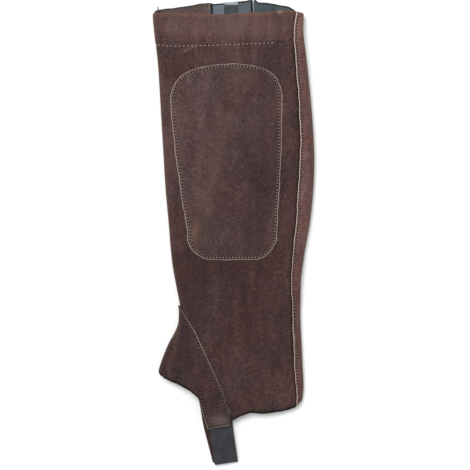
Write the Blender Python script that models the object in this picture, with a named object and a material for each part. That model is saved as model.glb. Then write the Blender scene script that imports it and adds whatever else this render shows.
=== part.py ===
"""A riding gaiter (half chap) in brown suede, laid flat on its outer side.

The leg runs along Y with the mouth at the top and the foot at the bottom, the shin is on the left and
the calf on the right. Z points up from the surface that the gaiter lies on. Every piece follows one
flattened tube: a flat lower side, a gently crowned upper side and a round fold along the shin and the
calf. Positions on it are skin distances from the shin fold, positive over the upper side and negative
over the lower side, and pieces lie at an outward offset from it. Sizes are in millimetres.
"""

import math

import bpy
import numpy as np

MM = 0.001
SUEDE = 1.8
ELASTIC = 1.4
TAPE = 0.7
STRAP = 1.5
GAP = 0.3
STEP_UP = SUEDE + GAP  # how far a lapped piece is lifted over the one below

HEM_DEPTH = 35.0  # width of the top edge turned to the inside
HEM_CREASE = 0.1  # thin line between the panel and its turned-in edge
OUTER_HEM_RISE = 2.0
LAP = 8.0  # how far a panel runs on under its neighbour
LAP_STEP = 5.0  # how far a lapped edge takes to come back down
ANKLE_RISE = (-34.0, -66.0)  # y where the outer panel starts and ends its climb onto the foot panel

PATCH_THICKNESS = 1.6
PATCH_INSET = 0.4  # of its first and last row from the arcs' ends
LABEL_WIDTH, LABEL_LENGTH, LABEL_THICKNESS = 14.0, 30.0, 0.5
LABEL_LEFT, LABEL_TOP = -9.2, 253.0

ZIP_MIDDLE = 4.8  # height of the tape's middle over the surface
CHAIN_WIDTH, CHAIN_THICKNESS = 5.6, 2.6
CHAIN_TOP, CHAIN_BOTTOM = 229.5, -188.0
TAPE_REACH = 16.0  # from the middle of the zip to a tape's sewn edge
TAPE_SHOWING = 7.0  # from the middle of the zip to the elastic's edge
SLIDER_Y = 231.0
SLIDER_WIDTH, SLIDER_LENGTH, SLIDER_PLATE = 9.0, 11.0, 0.8
SLIDER_REACH = 2.3  # from the tape's middle to a plate's outer face
POST_WIDTH, POST_LENGTH, POST_AHEAD = 2.4, 2.6, 3.0
BRIDGE_WIDTH, BRIDGE_LENGTH, BRIDGE_BAR, BRIDGE_LEG = 3.0, 5.2, 0.6, 0.8
PULL_WIDTH, PULL_LENGTH, PULL_THICKNESS = 6.4, 24.0, 1.0
PULL_WINDOW = 3.3  # from the pull's axis to the end of its window
ARM_OVERLAP = 3.0  # of the arms with the grip
PULL_AXIS_HEIGHT = 1.72

STRAP_WIDTH = 25.0
STRAP_START = (-15.2, -202.0)  # under the inner tab
STRAP_END = (-7.4, -253.2)
STRAP_LEVELS = (2.1, 6.9)  # underside of the lower run, top of the upper run
STRAP_RISE = 0.9  # how far the upper run climbs to the inner tab

# The flattened tube, from over the mouth to below the foot: where its two folds lie, its height at the
# crown, and the radius of its folds.
STATION_COLUMNS = ("y", "shin", "calf", "height", "fold")
STATIONS = np.array(
    [
        (262.0, -88.0, 75.4, 25.0, 8.6),
        (240.0, -88.4, 75.6, 24.5, 8.5),
        (223.0, -87.0, 76.4, 24.0, 8.3),
        (188.0, -82.8, 80.3, 23.0, 8.0),
        (152.0, -80.3, 84.3, 22.0, 7.8),
        (117.0, -78.4, 87.4, 21.0, 7.6),
        (82.0, -76.2, 88.8, 20.0, 7.4),
        (47.0, -74.0, 87.6, 19.2, 7.2),
        (12.0, -71.0, 84.2, 19.2, 7.0),
        (-24.0, -68.0, 78.0, 18.6, 6.6),
        (-59.0, -63.2, 73.6, 17.8, 6.2),
        (-88.0, -58.9, 71.8, 17.0, 5.6),
        (-100.0, -59.6, 72.0, 16.6, 5.3),
        (-111.0, -63.8, 72.4, 16.2, 5.2),
        (-120.0, -68.8, 72.8, 15.9, 5.1),
        (-138.0, -76.6, 73.6, 15.2, 5.0),
        (-151.0, -80.8, 74.2, 14.8, 4.9),
        (-170.0, -83.0, 74.8, 14.8, 4.8),
        (-186.0, -83.5, 73.4, 14.8, 4.6),
        (-200.0, -84.0, 72.5, 13.7, 4.2),
        (-215.0, -84.0, 72.0, 8.4, 3.8),
        (-262.0, -84.0, 72.0, 8.0, 3.8),
    ]
)

# Lines on the outer side that run up the leg.
OUTER_COLUMNS = ("y", "suede_edge", "zip", "strip_edge")
OUTER = np.array(
    [
        (262.0, -27.0, 21.8, 66.5),
        (150.0, -20.0, 24.0, 70.0),
        (82.0, -14.0, 26.0, 68.0),
        (-24.0, -4.0, 27.0, 56.0),
        (-85.0, 3.0, 27.5, 48.0),
        (-200.0, 12.0, 34.0, 54.0),
    ]
)

# Where the back strip's edge shows on the inner side.
CALF_SEAM = np.array(
    [
        (240.0, 68.3),
        (218.0, 66.4),
        (175.0, 69.2),
        (125.0, 72.5),
        (99.0, 73.3),
        (79.0, 72.9),
        (57.0, 71.4),
        (19.0, 69.4),
        (-6.0, 67.0),
        (-42.0, 63.7),
        (-92.0, 65.0),
        (-139.0, 66.6),
        (-182.0, 69.5),
    ]
)

# Edges that are cut across the leg, from the shin towards the calf: x, y.
INNER_TOP = np.array(
    [
        (-88.5, 239.8),
        (-80.0, 238.4),
        (-42.0, 237.4),
        (-15.0, 236.4),
        (8.0, 237.4),
        (35.0, 239.0),
        (55.0, 241.2),
        (67.0, 240.6),
        (75.6, 239.0),
    ]
)
OUTER_TOP = np.array(
    [
        (-88.5, 239.8),
        (-86.0, 243.4),
        (-78.0, 244.8),
        (-47.0, 249.2),
        (-27.0, 252.1),
        (-21.0, 250.6),
        (-8.0, 252.0),
        (13.0, 253.4),
        (19.0, 254.8),
        (24.6, 254.8),
        (27.0, 252.6),
        (41.0, 251.4),
        (62.0, 247.0),
        (70.0, 242.4),
        (75.6, 239.0),
    ]
)
HEM = np.array(
    [
        (-6.0, -207.5),
        (-2.4, -206.2),
        (7.5, -200.8),
        (18.5, -197.0),
        (37.0, -197.4),
        (60.0, -194.4),
        (68.0, -191.0),
        (73.0, -183.6),
        (75.6, -175.0),
    ]
)
FOOT_SEAM = np.array(
    [
        (-60.5, -78.5),
        (-51.6, -92.2),
        (-41.6, -108.3),
        (-30.8, -131.8),
        (-19.0, -157.2),
        (-10.9, -175.2),
        (-4.4, -193.6),
        (-1.8, -200.2),
    ]
)
TOE_HEM = np.array(
    [
        (-83.5, -150.0),
        (-81.2, -151.5),
        (-79.6, -155.3),
        (-74.6, -159.7),
        (-61.8, -164.6),
        (-47.2, -172.2),
        (-38.6, -180.0),
    ]
)
# The tabs that carry on from the foot panel: front and end, then the back edge.
INNER_TAB = np.array([(-37.0, -184.0), (-27.8, -214.8), (-3.2, -210.2), (6.0, -208.5)])
INNER_TAB_BACK = np.array([(-1.2, -211.0), (4.0, -330.0)])
OUTER_TAB = np.array([(-36.5, -190.6), (-32.6, -214.0), (-22.3, -253.0), (3.4, -247.0), (12.0, -245.0)])
OUTER_TAB_BACK = np.array([(3.6, -246.0), (9.0, -330.0)])

# The calf patch: top, bottom, rise of its top edge, and its two sides as y, left, right.
PATCH_TOP, PATCH_BOTTOM, PATCH_ARCH = 179.4, -29.8, 3.6
PATCH_SIDES = np.array(
    [
        (150.0, -68.6, 52.9),
        (93.0, -63.3, 52.1),
        (45.0, -56.9, 49.8),
        (0.0, -49.4, 47.2),
    ]
)
PATCH_CORNERS = {"top_left": 36.0, "top_right": 31.0, "bottom_left": 26.0, "bottom_right": 27.0}


def smooth(at, places, values):
    """A curve through the table's rows that keeps its slope from one row to the next."""
    order = np.argsort(places)
    places, values = places[order], values[order]
    slopes = np.gradient(values, places)
    at = np.clip(at, places[0], places[-1])
    row = np.clip(np.searchsorted(places, at) - 1, 0, len(places) - 2)
    width = places[row + 1] - places[row]
    t = (at - places[row]) / width
    start, end = values[row], values[row + 1]
    rise_start, rise_end = slopes[row] * width, slopes[row + 1] * width
    bend = 2 * (start - end) + rise_start + rise_end
    return start + t * (rise_start + t * (3 * (end - start) - 2 * rise_start - rise_end + t * bend))


def line(table):
    """An edge cut across the leg, as a function of x."""
    return lambda x: np.interp(x, table[:, 0], table[:, 1])


def ease(t):
    """0 to 1 with level ends."""
    t = np.clip(t, 0, 1)
    return t * t * (3 - 2 * t)


def station(y):
    """The two folds, the height and the fold radius of the tube at y."""
    return (smooth(y, STATIONS[:, 0], STATIONS[:, k]) for k in range(1, len(STATION_COLUMNS)))


def quarter_turn(y):
    """Skin distance over a quarter of a fold, from its outermost line to where a side begins."""
    _, _, _, fold = station(y)
    return math.pi / 2 * fold


def skin_length(y):
    """Skin distance over one side, from the shin fold to the calf fold."""
    shin, calf, _, fold = station(y)
    return calf - shin + (math.pi - 2) * fold


def skin(m, y, out=0.0):
    """Points at signed skin distances m from the shin fold, moved out from the tube's surface."""
    shin, calf, height, fold = station(y)
    side = np.where(m < 0, -1.0, 1.0)
    length = calf - shin + (math.pi - 2) * fold
    half = np.where(np.abs(m) <= length / 2, 1.0, -1.0)
    near = np.where(half > 0, np.abs(m), length - np.abs(m))
    turn = np.clip(near / fold, 0, math.pi / 2)
    from_fold = fold * (1 - np.cos(turn)) + np.maximum(near - fold * math.pi / 2, 0)
    x = np.where(half > 0, shin + from_fold, calf - from_fold)
    across = (2 * x - shin - calf) / (calf - shin)
    crown = np.where(side > 0, height - 2 * fold, 0)
    z = fold + side * fold * np.sin(turn) + crown * (1 - across**2)
    along_x = np.sin(turn)
    along_z = side * half * np.cos(turn) - 4 * crown * across / (calf - shin) * along_x
    size = np.hypot(along_x, along_z)
    x = x - side * out * along_z / size
    z = z + side * out * along_x / size
    return np.stack(np.broadcast_arrays(x, y, z), axis=-1)


def skin_at(x, y):
    """Skin distance from the shin fold of the place that lies at x in plan."""
    shin, calf, _, fold = station(y)
    from_shin = x - shin <= calf - x
    plan = np.maximum(np.where(from_shin, x - shin, calf - x), 0)
    bend = fold * np.arccos(1 - np.minimum(plan / fold, 1))
    near = bend + np.maximum(plan - fold, 0)
    return np.where(from_shin, near, skin_length(y) - near)


def meet(columns, edge):
    """The y at which each column of skin distances crosses an edge line, found by halving."""
    count = columns(0.0).shape
    low, high = np.full(count, -300.0), np.full(count, 300.0)
    for _ in range(40):
        middle = (low + high) / 2
        m = columns(middle)
        above = middle > edge(skin(m, middle)[..., 0], m)
        low, high = np.where(above, low, middle), np.where(above, middle, high)
    return low


def rows_between(top, bottom, shares, depths=()):
    """Rows at fixed depths under the top edge, then at shares of the rest of the way down."""
    first = [top - depth for depth in depths]
    start = top - (depths[-1] if depths else 0)
    return np.array(first + [start + share * (bottom - start) for share in shares if share > 0 or not depths])


def material(name, colour, roughness, metallic=0.0):
    made = bpy.data.materials.new(name)
    made.use_nodes = True
    shader = made.node_tree.nodes["Principled BSDF"]
    shader.inputs["Base Color"].default_value = (*colour, 1)
    shader.inputs["Roughness"].default_value = roughness
    shader.inputs["Metallic"].default_value = metallic
    return made


def add_object(name, mesh, finish):
    mesh.materials.clear()
    mesh.materials.append(finish)
    made = bpy.data.objects.new(name, mesh)
    bpy.context.scene.collection.objects.link(made)
    return made


def add_panel(name, finish, outer, inner):
    """A closed wall between two grids of points, outer on the outside of the gaiter."""
    rows, columns = outer.shape[:2]
    count = rows * columns
    index = np.arange(count).reshape(rows, columns)
    face = np.stack([index[:-1, :-1], index[1:, :-1], index[1:, 1:], index[:-1, 1:]], -1).reshape(-1, 4)
    rim = np.concatenate([index[0, :-1], index[:-1, -1], index[-1, :0:-1], index[:0:-1, 0]])
    after = np.roll(rim, -1)
    side = np.stack([rim, after, after + count, rim + count], -1)
    faces = np.concatenate([face, face[:, ::-1] + count, side])
    points = np.concatenate([outer.reshape(-1, 3), inner.reshape(-1, 3)]) * MM
    mesh = bpy.data.meshes.new(name)
    mesh.from_pydata(points.tolist(), [], faces.tolist())
    if volume(points, faces) < 0:
        mesh.flip_normals()
    mesh.shade_smooth()
    mesh.set_sharp_from_angle(angle=math.radians(40))
    return add_object(name, mesh, finish)


def volume(points, faces):
    """Six times the signed volume inside a closed mesh of quads."""
    a, b, c, d = (points[faces[:, k]] for k in range(4))
    return np.sum(np.einsum("ij,ij->i", a, np.cross(b, c)) + np.einsum("ij,ij->i", a, np.cross(c, d)))


def edge_at(y, name):
    """One of the lines that run up the outer side, as x."""
    return smooth(y, OUTER[:, 0], OUTER[:, OUTER_COLUMNS.index(name)])


def inner_seam(y):
    """Skin distance of the back strip's edge on the inner side."""
    return skin_at(smooth(y, CALF_SEAM[:, 0], CALF_SEAM[:, 1]), y)


def above_foot(y):
    """How far the outer side's panels have climbed onto the foot panel's edge."""
    start, end = ANKLE_RISE
    return STEP_UP * ease((start - y) / (start - end))


def round_shin(m, y):
    """1 on the upper side and 0 on the lower side, with an even change round the shin fold."""
    quarter = quarter_turn(y)
    return ease((m + quarter) / (2 * quarter))


def top_edge(x, m):
    """The mouth, which is cut higher on the outer side."""
    return np.where(m < 0, line(OUTER_TOP)(x), line(INNER_TOP)(x))


def hem_edge(x, m):
    """The hem behind the strap, which is a little shorter on the outer side."""
    return line(HEM)(x) + np.where(m < 0, OUTER_HEM_RISE, 0.0)


def build_main_panel(suede):
    """One piece from the calf seam over the inner side, round the shin, to the elastic."""
    end_zone = 2 * LAP
    bend = np.linspace(0, 1, 6)
    elastic_lap = (LAP + LAP_STEP * 0.3) / end_zone
    lower = [(-1, -1, -c) for c in (1, 1 - elastic_lap)]
    lower += [(-1, -f, 0) for f in np.linspace(1, 0, 9)[:-1]] + [(-b, 0, 0) for b in bend[:0:-1]]
    upper = [(b, 0, 0) for b in bend]
    upper += [(1, f, 0) for f in np.linspace(0, 1, 12)[1:]]
    upper += [(1, 1, c) for c in np.linspace(0, 1, 7)[1:]]
    bend_share, flat_share, end_share = np.array(lower + upper).T

    def columns(y):
        quarter = quarter_turn(y)
        outer_end = skin_at(edge_at(y, "suede_edge"), y)
        seam = inner_seam(y)
        to_fold = skin_length(y) - seam
        inner_end = seam + np.minimum(LAP, 0.6 * to_fold)  # short of the calf fold
        flat = np.where(flat_share < 0, outer_end, inner_end) - end_zone - quarter
        return bend_share * quarter + flat_share * flat + end_share * end_zone

    def bottom_edge(x, m):
        foot = line(FOOT_SEAM)(x + LAP)
        hem = hem_edge(x, m)
        return np.where(x + LAP < FOOT_SEAM[-1, 0], np.maximum(foot, hem), hem)

    top, bottom = meet(columns, top_edge), meet(columns, bottom_edge)
    shares = np.concatenate([np.linspace(0, 0.82, 19), np.linspace(0.82, 1, 9)[1:]])
    y = rows_between(top, bottom, shares, (0, 3, 14, 25, HEM_DEPTH - 1.5, HEM_DEPTH))
    m = columns(y)
    out = above_foot(y) * (round_shin(m, y) - 1)
    clear_of_elastic = end_share >= 0
    turned_in = (top - y < HEM_DEPTH - 1) * clear_of_elastic
    inside = out - SUEDE - (SUEDE - HEM_CREASE) * turned_in
    return add_panel("main_panel", suede, skin(m, y, out), skin(m, y, inside))


def build_back_strip(suede):
    """A narrow strip that laps over the inner side's edge and wraps round the calf."""
    upper = np.linspace(1, 0, 8)
    lower = np.linspace(0, 1, 9)[1:]
    share = np.concatenate([upper, lower])
    side = np.concatenate([np.ones(len(upper)), -np.ones(len(lower))])

    def columns(y):
        length = skin_length(y)
        above = length - inner_seam(y)
        below = length - skin_at(edge_at(y, "strip_edge"), y)
        return side * (length - share * np.where(side > 0, above, below))

    y = rows_between(meet(columns, top_edge), meet(columns, hem_edge), np.linspace(0, 1, 32))
    m = columns(y)
    past_lap = np.where(m < 0, skin_length(y), m) - inner_seam(y) - LAP - GAP
    round_calf = 1 - ease((skin_length(y) + m) / list(station(y))[3]) * (m < 0)
    out = STEP_UP * (1 - ease(past_lap / LAP_STEP)) * round_calf
    return add_panel("back_strip", suede, skin(m, y, out), skin(m, y, out - SUEDE))


def build_foot_panel(suede):
    """The instep piece, folded along its front, with a tab on each side for the strap."""
    bend = np.linspace(0, 1, 6)
    inner_flat = [0.08, 0.2, 0.34, 0.47, 0.54, 0.58, 0.62, 0.68, 0.76, 0.86, 0.95, 1.0]
    outer_flat = [0.08, 0.2, 0.34, 0.47, 0.53, 0.57, 0.63, 0.70, 0.78, 0.88, 0.95, 1.0]
    shares = [(-1, -f) for f in outer_flat[::-1]] + [(-b, 0) for b in bend[:0:-1]]
    shares += [(b, 0) for b in bend] + [(1, f) for f in inner_flat]
    bend_share, flat_share = np.array(shares).T
    inner_back, outer_back = -3.0, 3.0

    def columns(y):
        quarter = quarter_turn(y)
        back = np.where(flat_share < 0, outer_back, inner_back)
        return bend_share * quarter + flat_share * (skin_at(back, y) - quarter)

    def upper_edge(x, m):
        outer = np.vstack([FOOT_SEAM, OUTER_TAB_BACK])
        inner = np.vstack([FOOT_SEAM, INNER_TAB_BACK])
        return np.where(m < 0, line(outer)(x), line(inner)(x))

    def lower_edge(x, m):
        outer = np.vstack([TOE_HEM, OUTER_TAB])
        inner = np.vstack([TOE_HEM, INNER_TAB])
        return np.where(m < 0, line(outer)(x), line(inner)(x))

    y = rows_between(meet(columns, upper_edge), meet(columns, lower_edge), np.linspace(0, 1, 17))
    m = columns(y)
    out = STEP_UP * round_shin(m, y)
    return add_panel("foot_panel", suede, skin(m, y, out), skin(m, y, out - SUEDE))


def build_calf_patch(suede):
    """The reinforcement on the inner side, a trapezium with round corners."""
    corner_turn = np.linspace(0, 1, 7)
    deepest = max(PATCH_CORNERS["top_left"], PATCH_CORNERS["top_right"])
    lowest = max(PATCH_CORNERS["bottom_left"], PATCH_CORNERS["bottom_right"])
    top_rows = PATCH_TOP - PATCH_INSET - deepest * (1 - np.cos(corner_turn * math.pi / 2))
    bottom_rows = PATCH_BOTTOM + PATCH_INSET + lowest * (1 - np.cos(corner_turn[::-1] * math.pi / 2))
    middle_rows = np.linspace(top_rows[-1], bottom_rows[0], 10)[1:-1]
    y = np.concatenate([top_rows, middle_rows, bottom_rows])[:, None]

    def inset(radius, depth):
        """How far a round corner cuts in at a depth under the edge."""
        rest = np.clip(radius - depth, 0, radius)
        return radius - np.sqrt(radius**2 - rest**2)

    left = smooth(y, PATCH_SIDES[:, 0], PATCH_SIDES[:, 1])
    right = smooth(y, PATCH_SIDES[:, 0], PATCH_SIDES[:, 2])
    left = left + inset(PATCH_CORNERS["top_left"], PATCH_TOP - y)
    left = left + inset(PATCH_CORNERS["bottom_left"], y - PATCH_BOTTOM)
    right = right - inset(PATCH_CORNERS["top_right"], PATCH_TOP - y)
    right = right - inset(PATCH_CORNERS["bottom_right"], y - PATCH_BOTTOM)
    share = np.linspace(0, 1, 15)
    x = left + (right - left) * share
    middle = (PATCH_TOP + PATCH_BOTTOM) / 2
    arch = PATCH_ARCH * (1 - (2 * share - 1.1) ** 2) * ease((y - middle) / (PATCH_TOP - middle))
    y = y + arch
    m = skin_at(x, y)
    return add_panel("calf_patch", suede, skin(m, y, GAP + PATCH_THICKNESS), skin(m, y, GAP))


def outer_strip(name, finish, left, right, outside, thickness, count, top=top_edge, bottom=hem_edge, rows=26):
    """A flat piece on the outer side, between two lines that run up the leg.

    left and right give x at y, and outside gives how deep under the tube's surface its outer face lies
    along each of the two.
    """
    share = np.linspace(0, 1, count)

    def columns(y):
        start, end = skin_at(left(y), y), skin_at(right(y), y)
        return -(start + share * (end - start))

    y = rows_between(meet(columns, top), meet(columns, bottom), np.linspace(0, 1, rows))
    m = columns(y)
    start, end = (level(y) for level in outside)
    out = -start - share * (end - start)
    return add_panel(name, finish, skin(m, y, out), skin(m, y, out - thickness))


def beside(name, distance):
    """A line at a set distance to the right of one that runs up the outer side, as x at y."""
    return lambda y: edge_at(y, name) + distance


def across_at(height):
    """A straight cut across the leg."""
    return lambda x, m: np.full(np.shape(x), height)


def build_elastics(elastic):
    """The ribbed elastic on each side of the zip, lapped under the suede and over the zip's tapes."""

    def by_suede(y):
        return STEP_UP + above_foot(y)

    def by_zip(y):
        return ZIP_MIDDLE - TAPE / 2 - GAP - ELASTIC + above_foot(y)

    def by_strip(y):
        return np.full(np.shape(y), STEP_UP)

    outer_strip(
        "elastic_front", elastic, beside("suede_edge", -LAP), beside("zip", -TAPE_SHOWING),
        (by_suede, by_zip), ELASTIC, 7,
    )
    outer_strip(
        "elastic_rear", elastic, beside("zip", TAPE_SHOWING), beside("strip_edge", LAP),
        (by_zip, by_strip), ELASTIC, 9,
    )


def build_zip(tape, metal):
    """Two tapes and the closed chain, which ends inside the slider."""

    def tape_level(y):
        return ZIP_MIDDLE - TAPE / 2 + above_foot(y)

    def chain_level(y):
        return ZIP_MIDDLE - CHAIN_THICKNESS / 2 + above_foot(y)

    half = CHAIN_WIDTH / 2
    outer_strip(
        "zip_tape_front", tape, beside("zip", -TAPE_REACH), beside("zip", -half - GAP),
        (tape_level, tape_level), TAPE, 4,
    )
    outer_strip(
        "zip_tape_rear", tape, beside("zip", half + GAP), beside("zip", TAPE_REACH),
        (tape_level, tape_level), TAPE, 4,
    )
    outer_strip(
        "zip_chain", metal, beside("zip", -half), beside("zip", half),
        (chain_level, chain_level), CHAIN_THICKNESS, 3, across_at(CHAIN_TOP), across_at(CHAIN_BOTTOM),
    )


def build_label(woven):
    """A plain woven label, sewn by its top edge to the inside of the front elastic."""

    def level(y):
        return np.full(np.shape(y), STEP_UP + ELASTIC + 2 * GAP)

    outer_strip(
        "label", woven, lambda y: LABEL_LEFT + 0 * y, lambda y: LABEL_LEFT + LABEL_WIDTH + 0 * y,
        (level, level), LABEL_THICKNESS, 3, across_at(LABEL_TOP), across_at(LABEL_TOP - LABEL_LENGTH), 5,
    )


def slab(name, corners, low, high, axis, finish):
    """An outline in two coordinates, run along the third from low to high."""
    order = {"x": (1, 2, 0), "z": (0, 1, 2)}[axis]
    points = np.zeros((2 * len(corners), 3))
    points[:, order[0]] = [c[0] for c in corners] * 2
    points[:, order[1]] = [c[1] for c in corners] * 2
    points[:, order[2]] = [low] * len(corners) + [high] * len(corners)
    count = len(corners)
    sides = [(k, (k + 1) % count, (k + 1) % count + count, k + count) for k in range(count)]
    mesh = bpy.data.meshes.new(name)
    ends = [tuple(range(count))[::-1], tuple(range(count, 2 * count))]
    mesh.from_pydata((points * MM).tolist(), [], ends + sides)
    return add_object(name, mesh, finish)


def rounded(x, y, width, length, radius, steps=3):
    """Corners of a rectangle with round corners, going round anticlockwise."""
    turn = np.linspace(0, math.pi / 2, steps + 1)
    corners = []
    for quarter, (sx, sy) in enumerate([(1, 1), (-1, 1), (-1, -1), (1, -1)]):
        middle = (x + sx * (width / 2 - radius), y + sy * (length / 2 - radius))
        angle = turn + quarter * math.pi / 2
        corners += [(middle[0] + radius * math.cos(a), middle[1] + radius * math.sin(a)) for a in angle]
    return corners


def joined(name, pieces, finish):
    """One closed body from overlapping pieces."""
    base = pieces[0]
    for other in pieces[1:]:
        union = base.modifiers.new("Union", "BOOLEAN")
        union.operation = "UNION"
        union.object = other
    bpy.context.view_layer.update()
    evaluated = base.evaluated_get(bpy.context.evaluated_depsgraph_get())
    mesh = bpy.data.meshes.new_from_object(evaluated)
    for piece in pieces:
        bpy.data.objects.remove(piece)
    return add_object(name, mesh, finish)


def build_slider(metal):
    """The slider's two plates, the post between them and the bridge that holds the pull tab."""
    x = float(edge_at(np.array(SLIDER_Y), "zip"))
    outside = ZIP_MIDDLE - SLIDER_REACH
    inside = ZIP_MIDDLE + SLIDER_REACH
    outline = rounded(x, SLIDER_Y, SLIDER_WIDTH, SLIDER_LENGTH, 2.6)
    pieces = [
        slab("outer_plate", outline, outside, outside + SLIDER_PLATE, "z", metal),
        slab("inner_plate", outline, inside - SLIDER_PLATE, inside, "z", metal),
    ]
    post = rounded(x, SLIDER_Y + POST_AHEAD, POST_WIDTH, POST_LENGTH, POST_WIDTH / 3)
    in_plate = SLIDER_PLATE / 2
    pieces.append(slab("post", post, outside + in_plate, inside - in_plate, "z", metal))
    low = PULL_AXIS_HEIGHT - PULL_THICKNESS / 2 - GAP
    foot = outside + in_plate
    near, far = SLIDER_Y - BRIDGE_LENGTH / 2, SLIDER_Y + BRIDGE_LENGTH / 2
    arch = [
        (near, foot), (near, low), (near + BRIDGE_BAR, low - BRIDGE_BAR),
        (far - BRIDGE_BAR, low - BRIDGE_BAR), (far, low), (far, foot),
        (far - BRIDGE_LEG, foot), (far - BRIDGE_LEG, low),
        (near + BRIDGE_LEG, low), (near + BRIDGE_LEG, foot),
    ]
    pieces.append(slab("bridge", arch, x - BRIDGE_WIDTH / 2, x + BRIDGE_WIDTH / 2, "x", metal))
    return joined("zip_slider", pieces, metal)


def build_pull(metal):
    """The pull tab: a bar through the bridge, two arms and a rounded grip, hanging down the leg."""
    x = float(edge_at(np.array(SLIDER_Y), "zip"))
    low = PULL_AXIS_HEIGHT - PULL_THICKNESS / 2
    high = low + PULL_THICKNESS
    radius = PULL_THICKNESS / 2
    turn = np.linspace(0, 2 * math.pi, 11)[:-1]
    bar = [(SLIDER_Y + radius * math.cos(a), PULL_AXIS_HEIGHT + radius * math.sin(a)) for a in turn]
    arm_width = (PULL_WIDTH - BRIDGE_WIDTH) / 2 - GAP
    window_end = SLIDER_Y - PULL_WINDOW
    grip_length = PULL_LENGTH - PULL_WINDOW
    grip = rounded(x, window_end - grip_length / 2, PULL_WIDTH, grip_length, 0.38 * PULL_WIDTH)
    pieces = [slab("grip", grip, low, high, "z", metal)]
    arm_end = window_end - ARM_OVERLAP
    for side in (-1, 1):
        middle = x + side * (PULL_WIDTH - arm_width) / 2
        arm = rounded(middle, (SLIDER_Y + arm_end) / 2, arm_width, SLIDER_Y - arm_end, arm_width / 20, 1)
        pieces.append(slab("arm", arm, low, high, "z", metal))
    bar_half = PULL_WIDTH / 2 - arm_width / 20  # just inside the arms' outer faces
    pieces.append(slab("bar", bar, x - bar_half, x + bar_half, "x", metal))
    return joined("zip_pull", pieces, metal)


def build_strap(elastic):
    """The strap under the shoe: out from under the inner tab, round and back onto the outer tab."""
    start, end = np.array(STRAP_START), np.array(STRAP_END)
    run = end - start
    reach = math.hypot(*run)
    along = run / reach
    across = np.array([-along[1], along[0]])
    low, high = STRAP_LEVELS
    radius = (high - low) / 2
    middle = (high + low) / 2
    straight = reach - radius
    # Rows of distance along the strap, height over its middle, and the direction out of the loop.
    climb = np.linspace(0, 1, 7)
    upper = [(share * straight, radius + STRAP_RISE * (1 - share), 0.0, 1.0) for share in climb]
    turns = np.linspace(0, math.pi, 8)[1:-1]
    fold = [(straight + radius * math.sin(a), radius * math.cos(a), math.sin(a), math.cos(a)) for a in turns]
    lower = [(share * straight, -radius, 0.0, -1.0) for share in np.linspace(1, 0.35, 6)]
    path = np.array(upper + fold + lower)
    widths = np.linspace(-STRAP_WIDTH / 2, STRAP_WIDTH / 2, 5)

    def grid(depth):
        distance = path[:, 0] - depth * path[:, 2]
        height = path[:, 1] - depth * path[:, 3] + middle
        flat = start + distance[:, None, None] * along + widths[None, :, None] * across
        return np.concatenate([flat, np.broadcast_to(height[:, None, None], (*flat.shape[:2], 1))], -1)

    return add_panel("strap_elastic", elastic, grid(0.0), grid(STRAP))


def main():
    for old in list(bpy.data.objects):
        bpy.data.objects.remove(old)
    suede = material("brown suede", (0.068, 0.036, 0.034), 0.95)
    elastic = material("black elastic", (0.03, 0.034, 0.036), 0.85)
    tape = material("grey zip tape", (0.07, 0.08, 0.075), 0.8)
    metal = material("nickel-plated zip", (0.55, 0.53, 0.5), 0.35, 1.0)
    woven = material("plain woven label", (0.05, 0.055, 0.06), 0.8)
    build_main_panel(suede)
    build_back_strip(suede)
    build_foot_panel(suede)
    build_calf_patch(suede)
    build_elastics(elastic)
    build_zip(tape, metal)
    build_label(woven)
    build_slider(metal)
    build_pull(metal)
    build_strap(elastic)


main()
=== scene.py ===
"""The looks of a brown suede riding gaiter that lies flat on its outer side, with its inner side up.

The leg runs along Y with the mouth at the top, the shin at low X and the calf at high X. Every piece of
cloth but the strap follows one flattened tube: a flat lower side, a gently crowned upper side, and a
round fold along the shin and the calf. Sizes are in millimetres until a mesh is made.
"""

import math

import bpy
import numpy as np
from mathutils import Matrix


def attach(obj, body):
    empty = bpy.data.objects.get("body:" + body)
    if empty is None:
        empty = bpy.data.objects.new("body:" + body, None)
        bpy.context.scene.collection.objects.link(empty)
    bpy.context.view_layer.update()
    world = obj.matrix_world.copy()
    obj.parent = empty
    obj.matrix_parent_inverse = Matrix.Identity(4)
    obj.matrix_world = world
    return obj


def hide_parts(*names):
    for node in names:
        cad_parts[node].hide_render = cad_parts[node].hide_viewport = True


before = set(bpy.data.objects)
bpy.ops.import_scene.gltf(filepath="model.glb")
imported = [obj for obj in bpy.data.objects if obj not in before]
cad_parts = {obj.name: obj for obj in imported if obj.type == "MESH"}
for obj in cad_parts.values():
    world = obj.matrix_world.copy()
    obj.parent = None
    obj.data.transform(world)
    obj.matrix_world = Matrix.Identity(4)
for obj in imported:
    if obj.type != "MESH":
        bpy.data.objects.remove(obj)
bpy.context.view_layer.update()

# --------------------------------------------------------------------------------
# Main panel. One piece of brown suede from the calf seam over the inner side of the leg, round the shin
# and on to the elastic by the zip. The mouth is turned 35 mm to the inside and stitched down; the hem
# and the edge by the elastic are cut raw, and the hide has soft creases, scuffs and a napped face.

MM = 0.001
SUEDE = 1.8
GAP = 0.3
STEP_UP = SUEDE + GAP  # how far a lapped piece is lifted over the one below
LAP = 8.0  # how far a panel runs on under its neighbour
HEM_DEPTH = 35.0  # width of the mouth's edge that is turned to the inside
HEM_CREASE = 0.1  # how much thinner the turned hem is than two layers
HEM_ROLL = 1.5  # how far the turned mouth rounds out past its last row
CUT_ROLL = 0.35  # how far a cut edge rounds out
OUTER_HEM_RISE = 2.0
ANKLE_RISE = (-34.0, -66.0)  # y where the outer side starts and ends its climb onto the foot panel
SEAM_FROM_CUT = 1.2  # from the turned edge's cut to its row of stitches

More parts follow.
